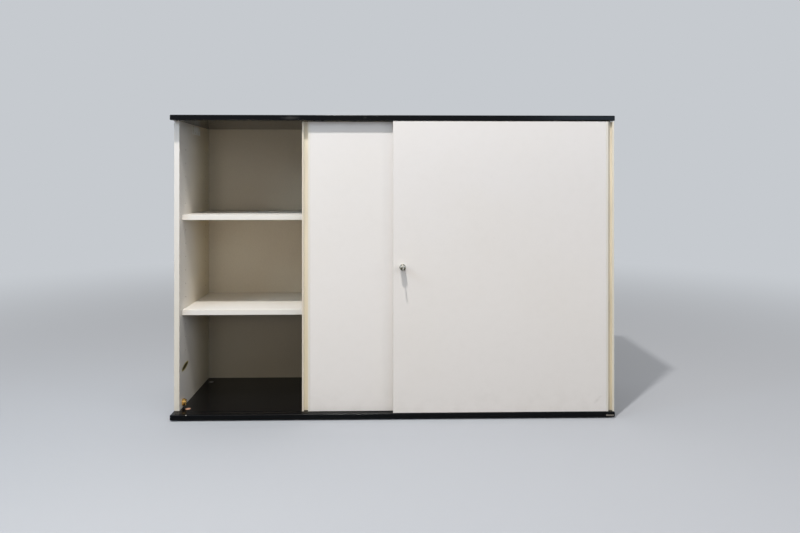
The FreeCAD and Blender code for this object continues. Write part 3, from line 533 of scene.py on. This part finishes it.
def keep_mesh(name, mesh, material, body, replaced):
    """Puts a finished mesh into the scene, as a piece that moves with a body and replaces CAD nodes."""
    for polygon in mesh.polygons:
        polygon.use_smooth = True
    mesh.set_sharp_from_angle(angle=SHARP_FROM)
    piece = place_in_scene(name, mesh)
    mesh.materials.clear()
    mesh.materials.append(material)
    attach(piece, body)
    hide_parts(*replaced)


def to_mesh(name, shape):
    mesh = bpy.data.meshes.new(name)
    shape.to_mesh(mesh)
    shape.free()
    return mesh


def to_solid_mesh(name, shape):
    bmesh.ops.remove_doubles(shape, verts=shape.verts, dist=SAME_POINT)
    bmesh.ops.recalc_face_normals(shape, faces=shape.faces)
    return to_mesh(name, shape)


def joined_mesh(name, meshes):
    shape = bmesh.new()
    for mesh in meshes:
        shape.from_mesh(mesh)
        bpy.data.meshes.remove(mesh)
    bmesh.ops.recalc_face_normals(shape, faces=shape.faces)
    return to_mesh(name, shape)


def frame_matrix(centre, along):
    """Turns local z into the given direction, and puts the origin at the centre."""
    turn = Vector((0, 0, 1)).rotation_difference(Vector(along)).to_matrix().to_4x4()
    return Matrix.Translation(Vector(centre)) @ turn


def along_z(distance):
    return Matrix.Translation((0, 0, distance))


def mm(*pairs):
    return [(first * MM, second * MM) for first, second in pairs]


def add_turned(shape, profile, matrix):
    """Adds a turned solid: profile is (radius, height) pairs from the axis round to the axis again."""
    rings = []
    for radius, height in profile:
        if radius < ON_AXIS:
            rings.append([shape.verts.new(matrix @ Vector((0, 0, height)))])
            continue
        ring = []
        for step in range(ROUND_STEPS):
            angle = 2 * math.pi * step / ROUND_STEPS
            point = Vector((radius * math.cos(angle), radius * math.sin(angle), height))
            ring.append(shape.verts.new(matrix @ point))
        rings.append(ring)
    for lower, upper in zip(rings, rings[1:]):
        for step in range(ROUND_STEPS):
            following = (step + 1) % ROUND_STEPS
            corners = [
                lower[step % len(lower)], lower[following % len(lower)],
                upper[following % len(upper)], upper[step % len(upper)],
            ]
            unique = []
            for corner in corners:
                if corner not in unique:
                    unique.append(corner)
            if len(unique) > 2:
                shape.faces.new(unique)


def keep_turned(name, profile, centre, along, material, body, replaced):
    shape = bmesh.new()
    add_turned(shape, profile, frame_matrix(centre, along))
    keep_mesh(name, to_solid_mesh(name, shape), material, body, replaced)


def flat_part(outlines, thickness, rounding, matrix):
    """A flat part with rounded edges, as a mesh.

    Outlines are closed lists of (x, y): the outer one first, then its holes.
    """
    curve = bpy.data.curves.new("flat_part", "CURVE")
    curve.dimensions = "2D"
    curve.fill_mode = "BOTH"
    curve.extrude = thickness / 2 - rounding
    curve.bevel_depth = rounding
    curve.bevel_resolution = EDGE_ROUNDING_STEPS
    curve.offset = -rounding
    for outline in outlines:
        spline = curve.splines.new("POLY")
        spline.points.add(len(outline) - 1)
        for point, (x, y) in zip(spline.points, outline):
            point.co = (x, y, 0, 1)
        spline.use_cyclic_u = True
    holder = place_in_scene("flat_part", curve)
    bpy.context.view_layer.update()
    graph = bpy.context.evaluated_depsgraph_get()
    mesh = bpy.data.meshes.new_from_object(holder.evaluated_get(graph))
    bpy.data.objects.remove(holder)
    bpy.data.curves.remove(curve)
    mesh.transform(matrix)
    return mesh


def arc(radius, steps, centre, start, end):
    """Points along an arc, with both of its ends."""
    points = []
    for step in range(steps + 1):
        angle = start + (end - start) * step / steps
        points.append((centre[0] + radius * math.cos(angle), centre[1] + radius * math.sin(angle)))
    return points


def circle(radius, steps, centre=(0, 0)):
    """Points round a full circle, the first of them once."""
    return arc(radius, steps, centre, 0.0, 2 * math.pi)[:-1]


# ---------------------------------------------------------------- the CAD pieces' finishes

BOARD_FRONT, DOOR_FRONT = -225 * MM, -223 * MM
TOP_BOARD_MIDDLE = 1085 * MM
GOUGE_PLACE = (-779 * MM, -113 * MM, 167 * MM)
GOUGE_TURN = (math.radians(9.5), 0, 0)
SEED_STEP, DOOR_SEED, BACK_SEED_STEP = 5.3, 40, 4.0
TOP_BOARD_SEED, BASE_BOARD_SEED = 2.0, 11.0

WHITE_MARKS = {
    "left_side_panel": (
        (GOUGE_PLACE, (4 * MM, 52 * MM, 18 * MM), GOUGE_TURN, 0.5, GOUGE_RIM),
        (GOUGE_PLACE, (4 * MM, 46 * MM, 12 * MM), GOUGE_TURN, 0.95, GOUGE_TORN),
        (GOUGE_PLACE, (4 * MM, 38 * MM, 7.5 * MM), GOUGE_TURN, 1.0, GOUGE_DEEP),
    ),
    "front_door_panel": (
        ((734 * MM, DOOR_FRONT, 64 * MM), (22 * MM, 4 * MM, 8 * MM), (0, -0.7, 0), 0.12, DIRT_AND_SHADE),
        ((746 * MM, DOOR_FRONT, 78 * MM), (13 * MM, 4 * MM, 5 * MM), (0, -0.4, 0), 0.10, DIRT_AND_SHADE),
    ),
}
TOP_BOARD_SMEARS = (
    ((-371 * MM, BOARD_FRONT, TOP_BOARD_MIDDLE), (44 * MM, 6 * MM, 9 * MM), 0.10),
    ((-105 * MM, BOARD_FRONT, TOP_BOARD_MIDDLE), (9 * MM, 6 * MM, 7 * MM), 0.10),
)
BASE_BOARD_CHIPS = (
    ((-742 * MM, BOARD_FRONT, 22.4 * MM), (3.0 * MM, 2.6 * MM, 2.0 * MM), 0.8, WHITE_CHIP),
)
UPRIGHTS = ("left_side_panel", "right_side_panel", "centre_partition")
SHELVES = ("left_lower_shelf", "left_upper_shelf", "right_lower_shelf", "right_upper_shelf")


def assign(node, material):
    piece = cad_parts[node]
    piece.data.materials.clear()
    piece.data.materials.append(material)


for number, node in enumerate(UPRIGHTS + SHELVES):
    if node in SHELVES:
        look = {"grime_height": 0.001, "painted_depth_shade": 0.35}
    else:
        look = {
            "band": UPRIGHT_BAND, "band_lower_shade": UPRIGHT_BAND_DARKER_LOW, "grime_height": 0.121, "painted_depth_shade": 0.8, "shaded": 0.16,
        }
    assign(node, white_laminate(node, number * SEED_STEP, WHITE_MARKS.get(node, ()), **look))
for number, node in enumerate(("front_door_panel", "rear_door_panel")):
    assign(node, white_laminate(
        node, DOOR_SEED + number * SEED_STEP, WHITE_MARKS.get(node, ()),
        face=DOOR_WHITE, lower_face_lit=DOOR_WHITE_PAINTED_LIGHT, band=DOOR_WHITE, all_banded=True,
    ))
assign("top_board", black_laminate("top_board", TOP_BOARD_SEED, smears=TOP_BOARD_SMEARS))
assign("base_board", black_laminate("base_board", BASE_BOARD_SEED, chips=BASE_BOARD_CHIPS, gloss_level=0.12))
for number, node in enumerate(("left_back_panel", "right_back_panel")):
    assign(node, back_laminate(node, number * BACK_SEED_STEP))
assign("front_door_grip_profile", grip_plastic("front_door_grip_profile", 1, FRONT_LIP))
# painted shade: the rear door's lip is painted darker than the front door's
assign("rear_door_grip_profile", grip_plastic("rear_door_grip_profile", -1, PAINTED_SHADE_LIP))

black_plastic = moulded_plastic("black_plastic_finish", rgb(22, 22, 24), rgb(66, 66, 68))
track_plastic = moulded_plastic("track_plastic_finish", rgb(14, 14, 16), rgb(32, 32, 34), gloss=0.22)
beige_plastic = moulded_plastic("beige_plastic_finish", rgb(184, 138, 112), rgb(146, 104, 82), gloss=0.34)
roller_plastic = moulded_plastic("roller_plastic_finish", rgb(176, 172, 162), rgb(118, 113, 104), gloss=0.3)
cap_plastic = moulded_plastic("cap_plastic_finish", rgb(134, 131, 126), rgb(176, 173, 166), gloss=0.24)
steel = plated_metal("steel_finish", rgb(190, 190, 192), rgb(120, 116, 110), gloss=0.28)
nickel = plated_metal("nickel_finish", rgb(196, 192, 181), rgb(104, 98, 78), gloss=0.16)
# the lock barrel carries a painted highlight on its upper side
aged_nickel = plated_metal(
    "aged_nickel_finish", rgb(146, 141, 124), rgb(58, 52, 36), gloss=0.10, stained=0.85,
    painted_highlight=(550 * MM, 555 * MM, NICKEL_PAINTED_HIGHLIGHT),
)
dull_nickel = plated_metal("plug_finish", rgb(124, 120, 106), rgb(62, 56, 40), gloss=0.2, stained=0.7)
key_steel = plated_metal(
    "key_finish", rgb(228, 226, 218), rgb(130, 124, 108), gloss=0.16, brushed=(1, 1, 0.05), stained=0.4)
brass = plated_metal("brass_finish", rgb(252, 208, 124), rgb(128, 66, 16), gloss=0.08, stained=0.75)
badge_metal = plated_metal(
    "badge_finish", rgb(150, 142, 132), rgb(96, 88, 80), gloss=0.34, brushed=(0.04, 1, 1))
beech = beech_wood("beech_finish")
sticker = paper("sticker_finish")

HIDDEN_FINISHES = (
    (black_plastic, ("_housing", "_top_guide", "lock_strike", "track_end_stops", "corner_glides", "centre_glide")),
    (track_plastic, ("_track",)),
    (roller_plastic, ("_wheel",)),
    (steel, ("_axle", "_shelf_pins", "lock_back_plate")),
    (beech, ("dowels",)),
)
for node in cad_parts:
    for material, endings in HIDDEN_FINISHES:
        if node.endswith(endings):
            assign(node, material)


# ---------------------------------------------------------------- rounded edges of the doors

PANEL_ROUNDING, GRIP_ROUNDING = 0.5 * MM, 0.35 * MM
FLAT_WITHIN = math.radians(0.5)
ROUND_FROM = math.radians(40)


def ease_edges(node, width):
    """Joins the imported faces, clears the flat ones of their triangles and rounds the edges a little."""
    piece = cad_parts[node]
    weld = piece.modifiers.new("weld", "WELD")
    weld.merge_threshold = SAME_POINT
    flat = piece.modifiers.new("flat", "DECIMATE")
    flat.decimate_type = "DISSOLVE"
    flat.angle_limit = FLAT_WITHIN
    ease = piece.modifiers.new("ease", "BEVEL")
    ease.width = width
    ease.segments = EDGE_ROUNDING_STEPS
    ease.limit_method = "ANGLE"
    ease.angle_limit = ROUND_FROM
    ease.harden_normals = True


for door in ("front_door", "rear_door"):
    ease_edges(f"{door}_panel", PANEL_ROUNDING)
    ease_edges(f"{door}_grip_profile", GRIP_ROUNDING)


# ---------------------------------------------------------------- the lock and its key

OUTWARDS = (0, -1, 0)
lock_low, lock_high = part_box("lock_barrel")
LOCK_X, LOCK_Z = (lock_low.x + lock_high.x) / 2, (lock_low.z + lock_high.z) / 2
DOOR_BACK = -207 * MM

# the flange and sleeve: z runs outwards, from the door's back face at 0
keep_turned(
    "lock_flange",
    mm((9.55, 0), (10.9, 0), (11.0, 0.1), (11.0, 16.0), (11.9, 16.0), (12.0, 16.15), (12.0, 16.6), (11.85, 17.0),
       (11.45, 17.3), (10.6, 17.5), (9.9, 17.5), (9.6, 17.35), (9.55, 17.1), (9.55, 0)),
    (LOCK_X, DOOR_BACK, LOCK_Z), OUTWARDS, nickel, "front_door", ("lock_sleeve",),
)

# the push barrel: z runs outwards, from the end of its bolt to its rounded front
barrel_back = lock_high.y
BARREL_LENGTH = (barrel_back - lock_low.y) / MM
BARREL_BACK = (
    (0, 0), (3.5, 0), (3.9, 0.15), (4.0, 0.5), (4.0, 7.9), (4.3, 8.0), (9.1, 8.0), (9.4, 8.1), (9.5, 8.4),
    (9.5, 22.0), (9.35, 22.15), (9.35, 22.45), (9.5, 22.6),
)
# its front end as (radius, distance back from the front): a turned line, the rounding and the plug's bore
BARREL_FRONT = (
    (9.5, 5.4), (9.32, 5.2), (9.32, 4.8), (9.5, 4.6), (9.5, 3.0), (9.4, 2.2), (9.1, 1.45), (8.6, 0.85), (7.9, 0.35),
    (7.1, 0.08), (6.5, 0), (6.25, 0.05), (6.1, 0.2), (6.08, 0.5), (6.08, 22.0), (0, 22.0),
)
keep_turned(
    "lock_push_barrel",
    mm(*BARREL_BACK, *((radius, BARREL_LENGTH - back) for radius, back in BARREL_FRONT)),
    (LOCK_X, barrel_back, LOCK_Z), OUTWARDS, aged_nickel, "lock_barrel", ("lock_barrel",),
)


PLUG_STEPS = 72


def make_plug():
    """The turning plug: a round bar with a keyway that has a ward on each side."""
    low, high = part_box("lock_plug")
    front, back = low.y, high.y
    radius, rounding, slot_depth, overlap = 5.98 * MM, 0.12 * MM, 19.1 * MM, 0.3 * MM
    half_width, half_height, ward = 1.2 * MM, 4.1 * MM, 0.95 * MM
    keyway = [
        (-half_width, -half_height), (half_width, -half_height), (half_width, 0.6 * MM), (ward, 0.7 * MM),
        (ward, 1.5 * MM), (half_width, 1.6 * MM), (half_width, half_height), (-half_width, half_height),
        (-half_width, -0.8 * MM), (-ward, -0.9 * MM), (-ward, -1.7 * MM), (-half_width, -1.8 * MM),
    ]
    face = flat_part(
        [circle(radius, PLUG_STEPS), keyway], slot_depth, rounding,
        frame_matrix((LOCK_X, front + slot_depth / 2 + 0.05 * MM, LOCK_Z), OUTWARDS),
    )
    end = flat_part(
        [circle(radius, PLUG_STEPS)], back - front - slot_depth + overlap, rounding,
        frame_matrix((LOCK_X, (front + slot_depth + back) / 2 - overlap / 2, LOCK_Z), OUTWARDS),
    )
    mesh = joined_mesh("lock_plug_face", [face, end])
    keep_mesh("lock_plug_face", mesh, dull_nickel, "lock_plug", ("lock_plug",))


# the key in millimetres, x along it from the bow's end: depth of the cuts by distance from the shoulder
KEY_CUTS = (
    (2.5, 0.0), (4.0, 1.2), (5.6, 1.2), (6.8, 0.5), (7.8, 0.5), (9.2, 1.6), (10.6, 1.6), (11.8, 0.9), (12.8, 0.9),
    (14.0, 0.2), (15.0, 0.2),
)
BOW_RADIUS, RING_HOLE_PLACE, RING_HOLE_RADIUS, EYE_RADIUS = 10.5, 6.0, 3.0, 4.2
NECK_HALF, NECK_START, NECK_END, SHOULDER = 4.0, 21.0, 21.6, 26.0
BLADE_HALF_HEIGHT, BLADE_HALF_THICKNESS, GROOVE_HALF_THICKNESS = 3.9, 1.05, 0.75
BLADE_OVERLAP, TIP_START, TIP_SLOPE, TIP_THINNING, BLADE_EDGE = 0.8, 2.2, 1.4, 0.35, 0.2
RIM_OUTSIDE, RIM_INSIDE = 0.1, 1.4
BOW_STEPS, EYE_STEPS, HOLE_STEPS = 72, 40, 32
STAMPING, RIM = (1.8 * MM, 0.2 * MM), (2.2 * MM, 0.3 * MM)


def blade_section(cut, tip, thin):
    """One cross-section of the blade, with a milled groove on each side, as (sideways, up) pairs."""
    half, groove = BLADE_HALF_THICKNESS - thin, GROOVE_HALF_THICKNESS - thin
    bottom, top, edge = -BLADE_HALF_HEIGHT + cut + tip, BLADE_HALF_HEIGHT - tip, BLADE_EDGE
    return [
        (half - edge, bottom), (half, bottom + edge), (half, 0.45), (groove, 0.62), (groove, 1.58), (half, 1.75),
        (half, top - edge), (half - edge, top), (-half + edge, top), (-half, top - edge), (-half, -0.65),
        (-groove, -0.82), (-groove, -1.78), (-half, -1.95), (-half, bottom + edge), (-half + edge, bottom),
    ]


def key_blade(low, high):
    length = (high.y - low.y) / MM
    cuts = {SHOULDER + station: depth for station, depth in KEY_CUTS}
    shape = bmesh.new()
    rings = []
    for station in (SHOULDER - BLADE_OVERLAP, *cuts, length - TIP_START, length):
        at_tip = station == length
        section = blade_section(
            cuts.get(station, 0.0), TIP_SLOPE if at_tip else 0.0, TIP_THINNING if at_tip else 0.0)
        rings.append([
            shape.verts.new((LOCK_X + side * MM, low.y + station * MM, LOCK_Z + up * MM)) for side, up in section
        ])
    for first, second in zip(rings, rings[1:]):
        for step in range(len(first)):
            following = (step + 1) % len(first)
            shape.faces.new((first[step], first[following], second[following], second[step]))
    shape.faces.new(rings[0])
    shape.faces.new(list(reversed(rings[-1])))
    return to_solid_mesh("blade", shape)


def make_key():
    """A stamped key: a round bow with raised rims, and a blade with mill grooves and cuts."""
    low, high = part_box("key")
    matrix = Matrix((
        (0, 0, 1, LOCK_X),
        (1, 0, 0, low.y),
        (0, 1, 0, LOCK_Z),
        (0, 0, 0, 1),
    ))
    bow, eye = (BOW_RADIUS, 0), (RING_HOLE_PLACE, 0)
    meet = math.asin(NECK_HALF / BOW_RADIUS)
    outline = arc(BOW_RADIUS, BOW_STEPS, bow, meet, 2 * math.pi - meet)
    outline += [
        (NECK_START, -NECK_HALF), (NECK_END, -BLADE_HALF_HEIGHT), (SHOULDER, -BLADE_HALF_HEIGHT),
        (SHOULDER, BLADE_HALF_HEIGHT), (NECK_END, BLADE_HALF_HEIGHT), (NECK_START, NECK_HALF),
    ]
    hole = circle(RING_HOLE_RADIUS, HOLE_STEPS, eye)
    bow_rim = (circle(BOW_RADIUS - RIM_OUTSIDE, BOW_STEPS, bow), circle(BOW_RADIUS - RIM_INSIDE, BOW_STEPS, bow))
    eye_rim = (circle(EYE_RADIUS, EYE_STEPS, eye), circle(RING_HOLE_RADIUS, EYE_STEPS, eye))
    meshes = []
    for outlines, make in (((outline, hole), STAMPING), (bow_rim, RIM), (eye_rim, RIM)):
        meshes.append(flat_part([mm(*points) for points in outlines], *make, matrix))
    meshes.append(key_blade(low, high))
    mesh = joined_mesh("key_with_bow", meshes)
    keep_mesh("key_with_bow", mesh, key_steel, "key", ("key",))


make_plug()
make_key()


# ---------------------------------------------------------------- the small parts near the floor

# profiles as (radius, height) in millimetres, up from the wall and up from the end of the cap's plug
KNOB_PROFILE = (
    (0, -12), (4.6, -12), (5, -11.6), (5, 0.02), (12.3, 0.02), (12.6, 0.2), (12.6, 6.8), (12.2, 7.3), (11.6, 7.6),
    (11.3, 8.3), (11.1, 8.5), (2.2, 8.5), (1.9, 8.3), (0, 8.2),
)
CAP_PROFILE = (
    (0, 0), (6.8, 0), (7.3, 0.5), (7.4, 1.0), (7.4, 3.02), (9.25, 3.02), (9.45, 3.1), (9.5, 3.25), (9.45, 3.45),
    (9.2, 3.62), (8.7, 3.72), (8.1, 3.76), (7.7, 3.7), (7.5, 3.6), (7.2, 3.6), (6.9, 3.7), (5.6, 3.76), (3.2, 3.79),
    (1.0, 3.8), (0.7, 3.72), (0, 3.7),
)
CAP_HEIGHT = 3.8 * MM
KNOB_HEIGHT, KNOB_SLOT_TURN, KNOB_SLOT_HALF = 12 * MM, math.radians(150), 1.5
FLUTES, FLUTE_STEPS, FLUTE_RADIUS, FLUTE_DEPTH, FLUTE_INSIDE = 40, 240, 12.78, 0.2, 11.5 * MM
FLUTE_BAND, FLUTE_BAND_RISE = (4.4 * MM, 0.4 * MM), 3.4 * MM
BAND_BORE_STEPS, FACE_STEPS = 60, 40
FACE_RADIUS, FACE_HALF, FACE_RISE = 11.2, (6.0 * MM, 1.3 * MM), 9.0 * MM


def make_knob(side):
    """A plated connector knob: a fluted disc with a turned rim and two raised halves beside a slot."""
    node = f"{side}_base_connector"
    low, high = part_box(node)
    y, z = (low.y + high.y) / 2, (low.z + high.z) / 2
    face, inwards = (high.x, 1) if side == "left" else (low.x, -1)
    matrix = frame_matrix((face - inwards * KNOB_HEIGHT, y, z), (inwards, 0, 0))

    shape = bmesh.new()
    add_turned(shape, mm(*KNOB_PROFILE), matrix)
    meshes = [to_solid_mesh("knob_body", shape)]

    flutes = []
    for step in range(FLUTE_STEPS):
        angle = 2 * math.pi * step / FLUTE_STEPS
        radius = FLUTE_RADIUS + FLUTE_DEPTH * math.cos(FLUTES * angle)
        flutes.append((radius * math.cos(angle) * MM, radius * math.sin(angle) * MM))
    band = [flutes, circle(FLUTE_INSIDE, BAND_BORE_STEPS)]
    meshes.append(flat_part(band, *FLUTE_BAND, matrix @ along_z(FLUTE_BAND_RISE)))

    opening = math.asin(KNOB_SLOT_HALF / FACE_RADIUS)
    for turn in (KNOB_SLOT_TURN, KNOB_SLOT_TURN + math.pi):
        half = arc(FACE_RADIUS * MM, FACE_STEPS, (0, 0), turn + opening, turn + math.pi - opening)
        meshes.append(flat_part([half], *FACE_HALF, matrix @ along_z(FACE_RISE)))
    mesh = joined_mesh(f"{side}_connector_knob", meshes)
    keep_mesh(f"{side}_connector_knob", mesh, brass, "carcass", (node,))


def make_floor_cap(name, centre_x, centre_y, material, replaced):
    """A press-in cap with a domed head, a raised rim and a shallow ring inside it."""
    _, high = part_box("front_left_floor_cap")
    foot = (centre_x, centre_y, high.z - CAP_HEIGHT)
    keep_turned(name, mm(*CAP_PROFILE), foot, (0, 0, 1), material, "carcass", replaced)


BADGE_CORNERS, BADGE_CORNER_STEPS = ((1, 1), (-1, 1), (-1, -1), (1, -1)), 6
BADGE_OUTER_RADIUS, BADGE_INNER_RADIUS, BADGE_BORDER_WIDTH = 0.7 * MM, 0.4 * MM, 0.5 * MM
BADGE_FIELD, BADGE_BORDER, BADGE_FIELD_SUNK = (0.36 * MM, 0.1 * MM), (0.48 * MM, 0.12 * MM), 0.07 * MM


def make_badge_plate():
    """A blank plate with a low border, stuck on the board's front edge."""
    low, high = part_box("blank_badge")
    centre, size = (low + high) / 2, high - low

    def outline(inset, radius):
        half_x, half_z = size.x / 2 - inset, size.z / 2 - inset
        points = []
        for turn, (x, z) in enumerate(BADGE_CORNERS):
            corner = (x * (half_x - radius), z * (half_z - radius))
            points += arc(radius, BADGE_CORNER_STEPS, corner, turn * math.pi / 2, (turn + 1) * math.pi / 2)
        return points

    matrix = frame_matrix(centre, OUTWARDS)
    outer, inner = outline(0, BADGE_OUTER_RADIUS), outline(BADGE_BORDER_WIDTH, BADGE_INNER_RADIUS)
    plate = flat_part([outer], *BADGE_FIELD, matrix @ along_z(-BADGE_FIELD_SUNK))
    border = flat_part([outer, inner], *BADGE_BORDER, matrix)
    mesh = joined_mesh("badge_plate", [plate, border])
    keep_mesh("badge_plate", mesh, badge_metal, "carcass", ("blank_badge",))


STICKER_FRONT, STICKER_BACK = -27 * MM, 81 * MM
STICKER_BOTTOM, STICKER_TOP = 1040 * MM, 1072 * MM
STICKER_UNDER, STICKER_OVER = 0.06 * MM, 0.22 * MM
STICKER_RIPPLE, STICKER_CURL = 0.05 * MM, 1.9 * MM
LOOSE_ALONG, LOOSE_UP = 4.2, 1.6
STICKER_COLUMNS, STICKER_ROWS = 40, 14


def sticker_point(wall, lift, u, v):
    """A point of the sticker, u along it and v up it from 0 to 1, lifted off the wall."""
    loose = max(0.0, 1 - (u * LOOSE_ALONG + v * LOOSE_UP))
    ripple = STICKER_RIPPLE * math.sin(11 * u + 2) * math.sin(5 * v + 1)
    return (
        wall + lift + abs(ripple) + STICKER_CURL * loose ** 2,
        STICKER_FRONT + (STICKER_BACK - STICKER_FRONT) * u,
        STICKER_BOTTOM + (STICKER_TOP - STICKER_BOTTOM) * v,
    )


def make_wall_sticker():
    """A blank paper sticker high on the left wall; its lower front corner has come loose."""
    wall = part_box("left_side_panel")[1].x
    columns, rows = STICKER_COLUMNS, STICKER_ROWS
    shape = bmesh.new()
    under, over = (
        [
            [shape.verts.new(sticker_point(wall, lift, column / columns, row / rows)) for row in range(rows + 1)]
            for column in range(columns + 1)
        ]
        for lift in (STICKER_UNDER, STICKER_OVER)
    )
    for grid, turned_over in ((under, True), (over, False)):
        for column in range(columns):
            for row in range(rows):
                face = [
                    grid[column][row], grid[column + 1][row], grid[column + 1][row + 1], grid[column][row + 1],
                ]
                shape.faces.new(reversed(face) if turned_over else face)
    border = [(column, 0) for column in range(columns)] + [(columns, row) for row in range(rows)]
    border += [(column, rows) for column in range(columns, 0, -1)] + [(0, row) for row in range(rows, 0, -1)]
    for (a, b), (c, d) in zip(border, border[1:] + border[:1]):
        shape.faces.new((under[a][b], under[c][d], over[c][d], over[a][b]))
    mesh = to_mesh("wall_sticker", shape)
    for polygon in mesh.polygons:
        polygon.use_smooth = True
    mesh.materials.append(sticker)
    piece = place_in_scene("wall_sticker", mesh)
    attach(piece, "carcass")


make_knob("left")
make_knob("right")
cap_low, cap_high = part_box("front_left_floor_cap")
cap_x, cap_front = abs(cap_low.x + cap_high.x) / 2, (cap_low.y + cap_high.y) / 2
cap_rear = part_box("black_floor_caps")[1].y - (cap_high.y - cap_low.y) / 2
make_floor_cap("beige_cap", -cap_x, cap_front, beige_plastic, ("front_left_floor_cap",))
make_floor_cap("rear_left_cap", -cap_x, cap_rear, cap_plastic, ("black_floor_caps",))
make_floor_cap("front_right_cap", cap_x, cap_front, cap_plastic, ("black_floor_caps",))
make_floor_cap("rear_right_cap", cap_x, cap_rear, cap_plastic, ("black_floor_caps",))
make_badge_plate()
make_wall_sticker()


# ---------------------------------------------------------------- floor, light and camera

SIDE_LIGHT = (0.095, 0.095, 0.096, 1.0)
REAR_LIGHT = (0.66, 0.66, 0.66, 1.0)
OVERHEAD_LIGHT = (0.90, 0.90, 0.90, 1.0)
REAR_LIGHT_START = 0.1
FLOOR_REACH, FLOOR_ROUGHNESS = 150.0, 0.9
FLOOR_NEAR, FLOOR_FAR = 1.0, 5.0

# name, sides in metres (one side: a disk), watts, colour, place, what it is aimed at
LAMPS = (
    ("key_lamp", (0.16,), 99.5, (1.0, 0.98, 0.96), (-0.40, -1.73, 3.8), (0.0, -0.2, 0.6)),
    ("soft_lamp", (2.4, 1.2), 5.0, (1.0, 0.985, 0.96), (-0.5, -2.2, 2.9), (0.0, -0.2, 0.7)),
    ("window_lamp", (1.2, 1.2), 9.0, (0.55, 0.76, 1.0), (1.95, -3.4, 1.6), (0.0, 0.0, 0.8)),
    ("right_lamp", (1.2, 1.0), 22.0, (0.97, 0.97, 1.0), (3.3, -2.4, 1.5), (-0.3, 0.0, 0.6)),
    ("left_lamp", (0.6, 0.6), 10.0, (0.60, 0.80, 1.0), (-1.7, -1.3, 1.7), (-0.3, 0.2, 0.75)),
    ("bay_lamp", (0.3, 0.2), 1.8, (1.0, 0.90, 0.76), (-0.86, -1.58, 0.72), (-0.55, 0.2, 0.50)),
)

PICTURE_WIDTH, PICTURE_HEIGHT = 800, 533
FOCAL_PIXELS, HORIZON_PIXEL = 651.0, 179.7
SENSOR_WIDTH = 36.0
NEAREST, FARTHEST = 0.05, 400.0
CAMERA_PLACE = (-0.0298, -2.5625, 0.863)
CAMERA_TURN = (math.radians(90), 0, math.radians(-1.26))


def make_floor():
    """A plain pale floor that takes the backdrop's colour far away."""
    shape = bmesh.new()
    bmesh.ops.create_grid(shape, x_segments=8, y_segments=8, size=FLOOR_REACH)
    mesh = to_mesh("floor", shape)
    floor = place_in_scene("floor", mesh)
    finish = Finish("floor_finish")
    seen = finish.seen_directly()
    distance = finish.vector("LENGTH", finish.place)
    far = finish.times(seen, finish.fade(distance, FLOOR_NEAR, FLOOR_FAR))
    tone = finish.mix(far, finish.mix(seen, FLOOR_BOUNCE, FLOOR_SEEN), NO_COLOUR)
    finish.shader.inputs["Emission Color"].default_value = BACKDROP
    finish.wire(finish.shader.inputs["Emission Strength"], far)
    mesh.materials.append(finish.done(tone, FLOOR_ROUGHNESS, gloss_level=0.0))


def make_world():
    """Soft light, brighter from above and from behind, and a plain pale backdrop colour where it is seen."""
    world = bpy.data.worlds.new("studio")
    bpy.context.scene.world = world
    world.use_nodes = True
    sky = Nodes(world.node_tree)
    _, to_rear, up = sky.parts(sky.add("ShaderNodeTexCoord").outputs["Generated"])
    light = sky.mix(sky.fade(up, 0.0, 1.0, curve="LINEAR"), SIDE_LIGHT, OVERHEAD_LIGHT)
    light = sky.mix(sky.fade(to_rear, REAR_LIGHT_START, 1.0), light, REAR_LIGHT)
    colour = sky.mix(sky.seen_directly(), light, BACKDROP)
    sky.wire(world.node_tree.nodes["Background"].inputs["Color"], colour)


def make_lamp(name, sides, watts, colour, place, target):
    lamp = bpy.data.lights.new(name, "AREA")
    lamp.shape = "DISK" if len(sides) == 1 else "RECTANGLE"
    lamp.size = sides[0]
    if len(sides) == 2:
        lamp.size_y = sides[1]
    lamp.energy = watts
    lamp.color = colour
    holder = place_in_scene(name, lamp)
    holder.location = place
    aim = Vector(target) - Vector(place)
    holder.rotation_euler = aim.to_track_quat("-Z", "Y").to_euler()


def make_camera():
    lens = bpy.data.cameras.new("camera")
    lens.sensor_fit = "HORIZONTAL"
    lens.sensor_width = SENSOR_WIDTH
    lens.lens = SENSOR_WIDTH * FOCAL_PIXELS / PICTURE_WIDTH
    lens.shift_y = (HORIZON_PIXEL - PICTURE_HEIGHT / 2) / PICTURE_WIDTH
    lens.clip_start, lens.clip_end = NEAREST, FARTHEST
    camera = place_in_scene("camera", lens)
    camera.location = CAMERA_PLACE
    camera.rotation_euler = CAMERA_TURN
    bpy.context.scene.camera = camera


make_floor()
make_world()
for lamp in LAMPS:
    make_lamp(*lamp)
make_camera()
bpy.context.scene.view_settings.view_transform = "Standard"
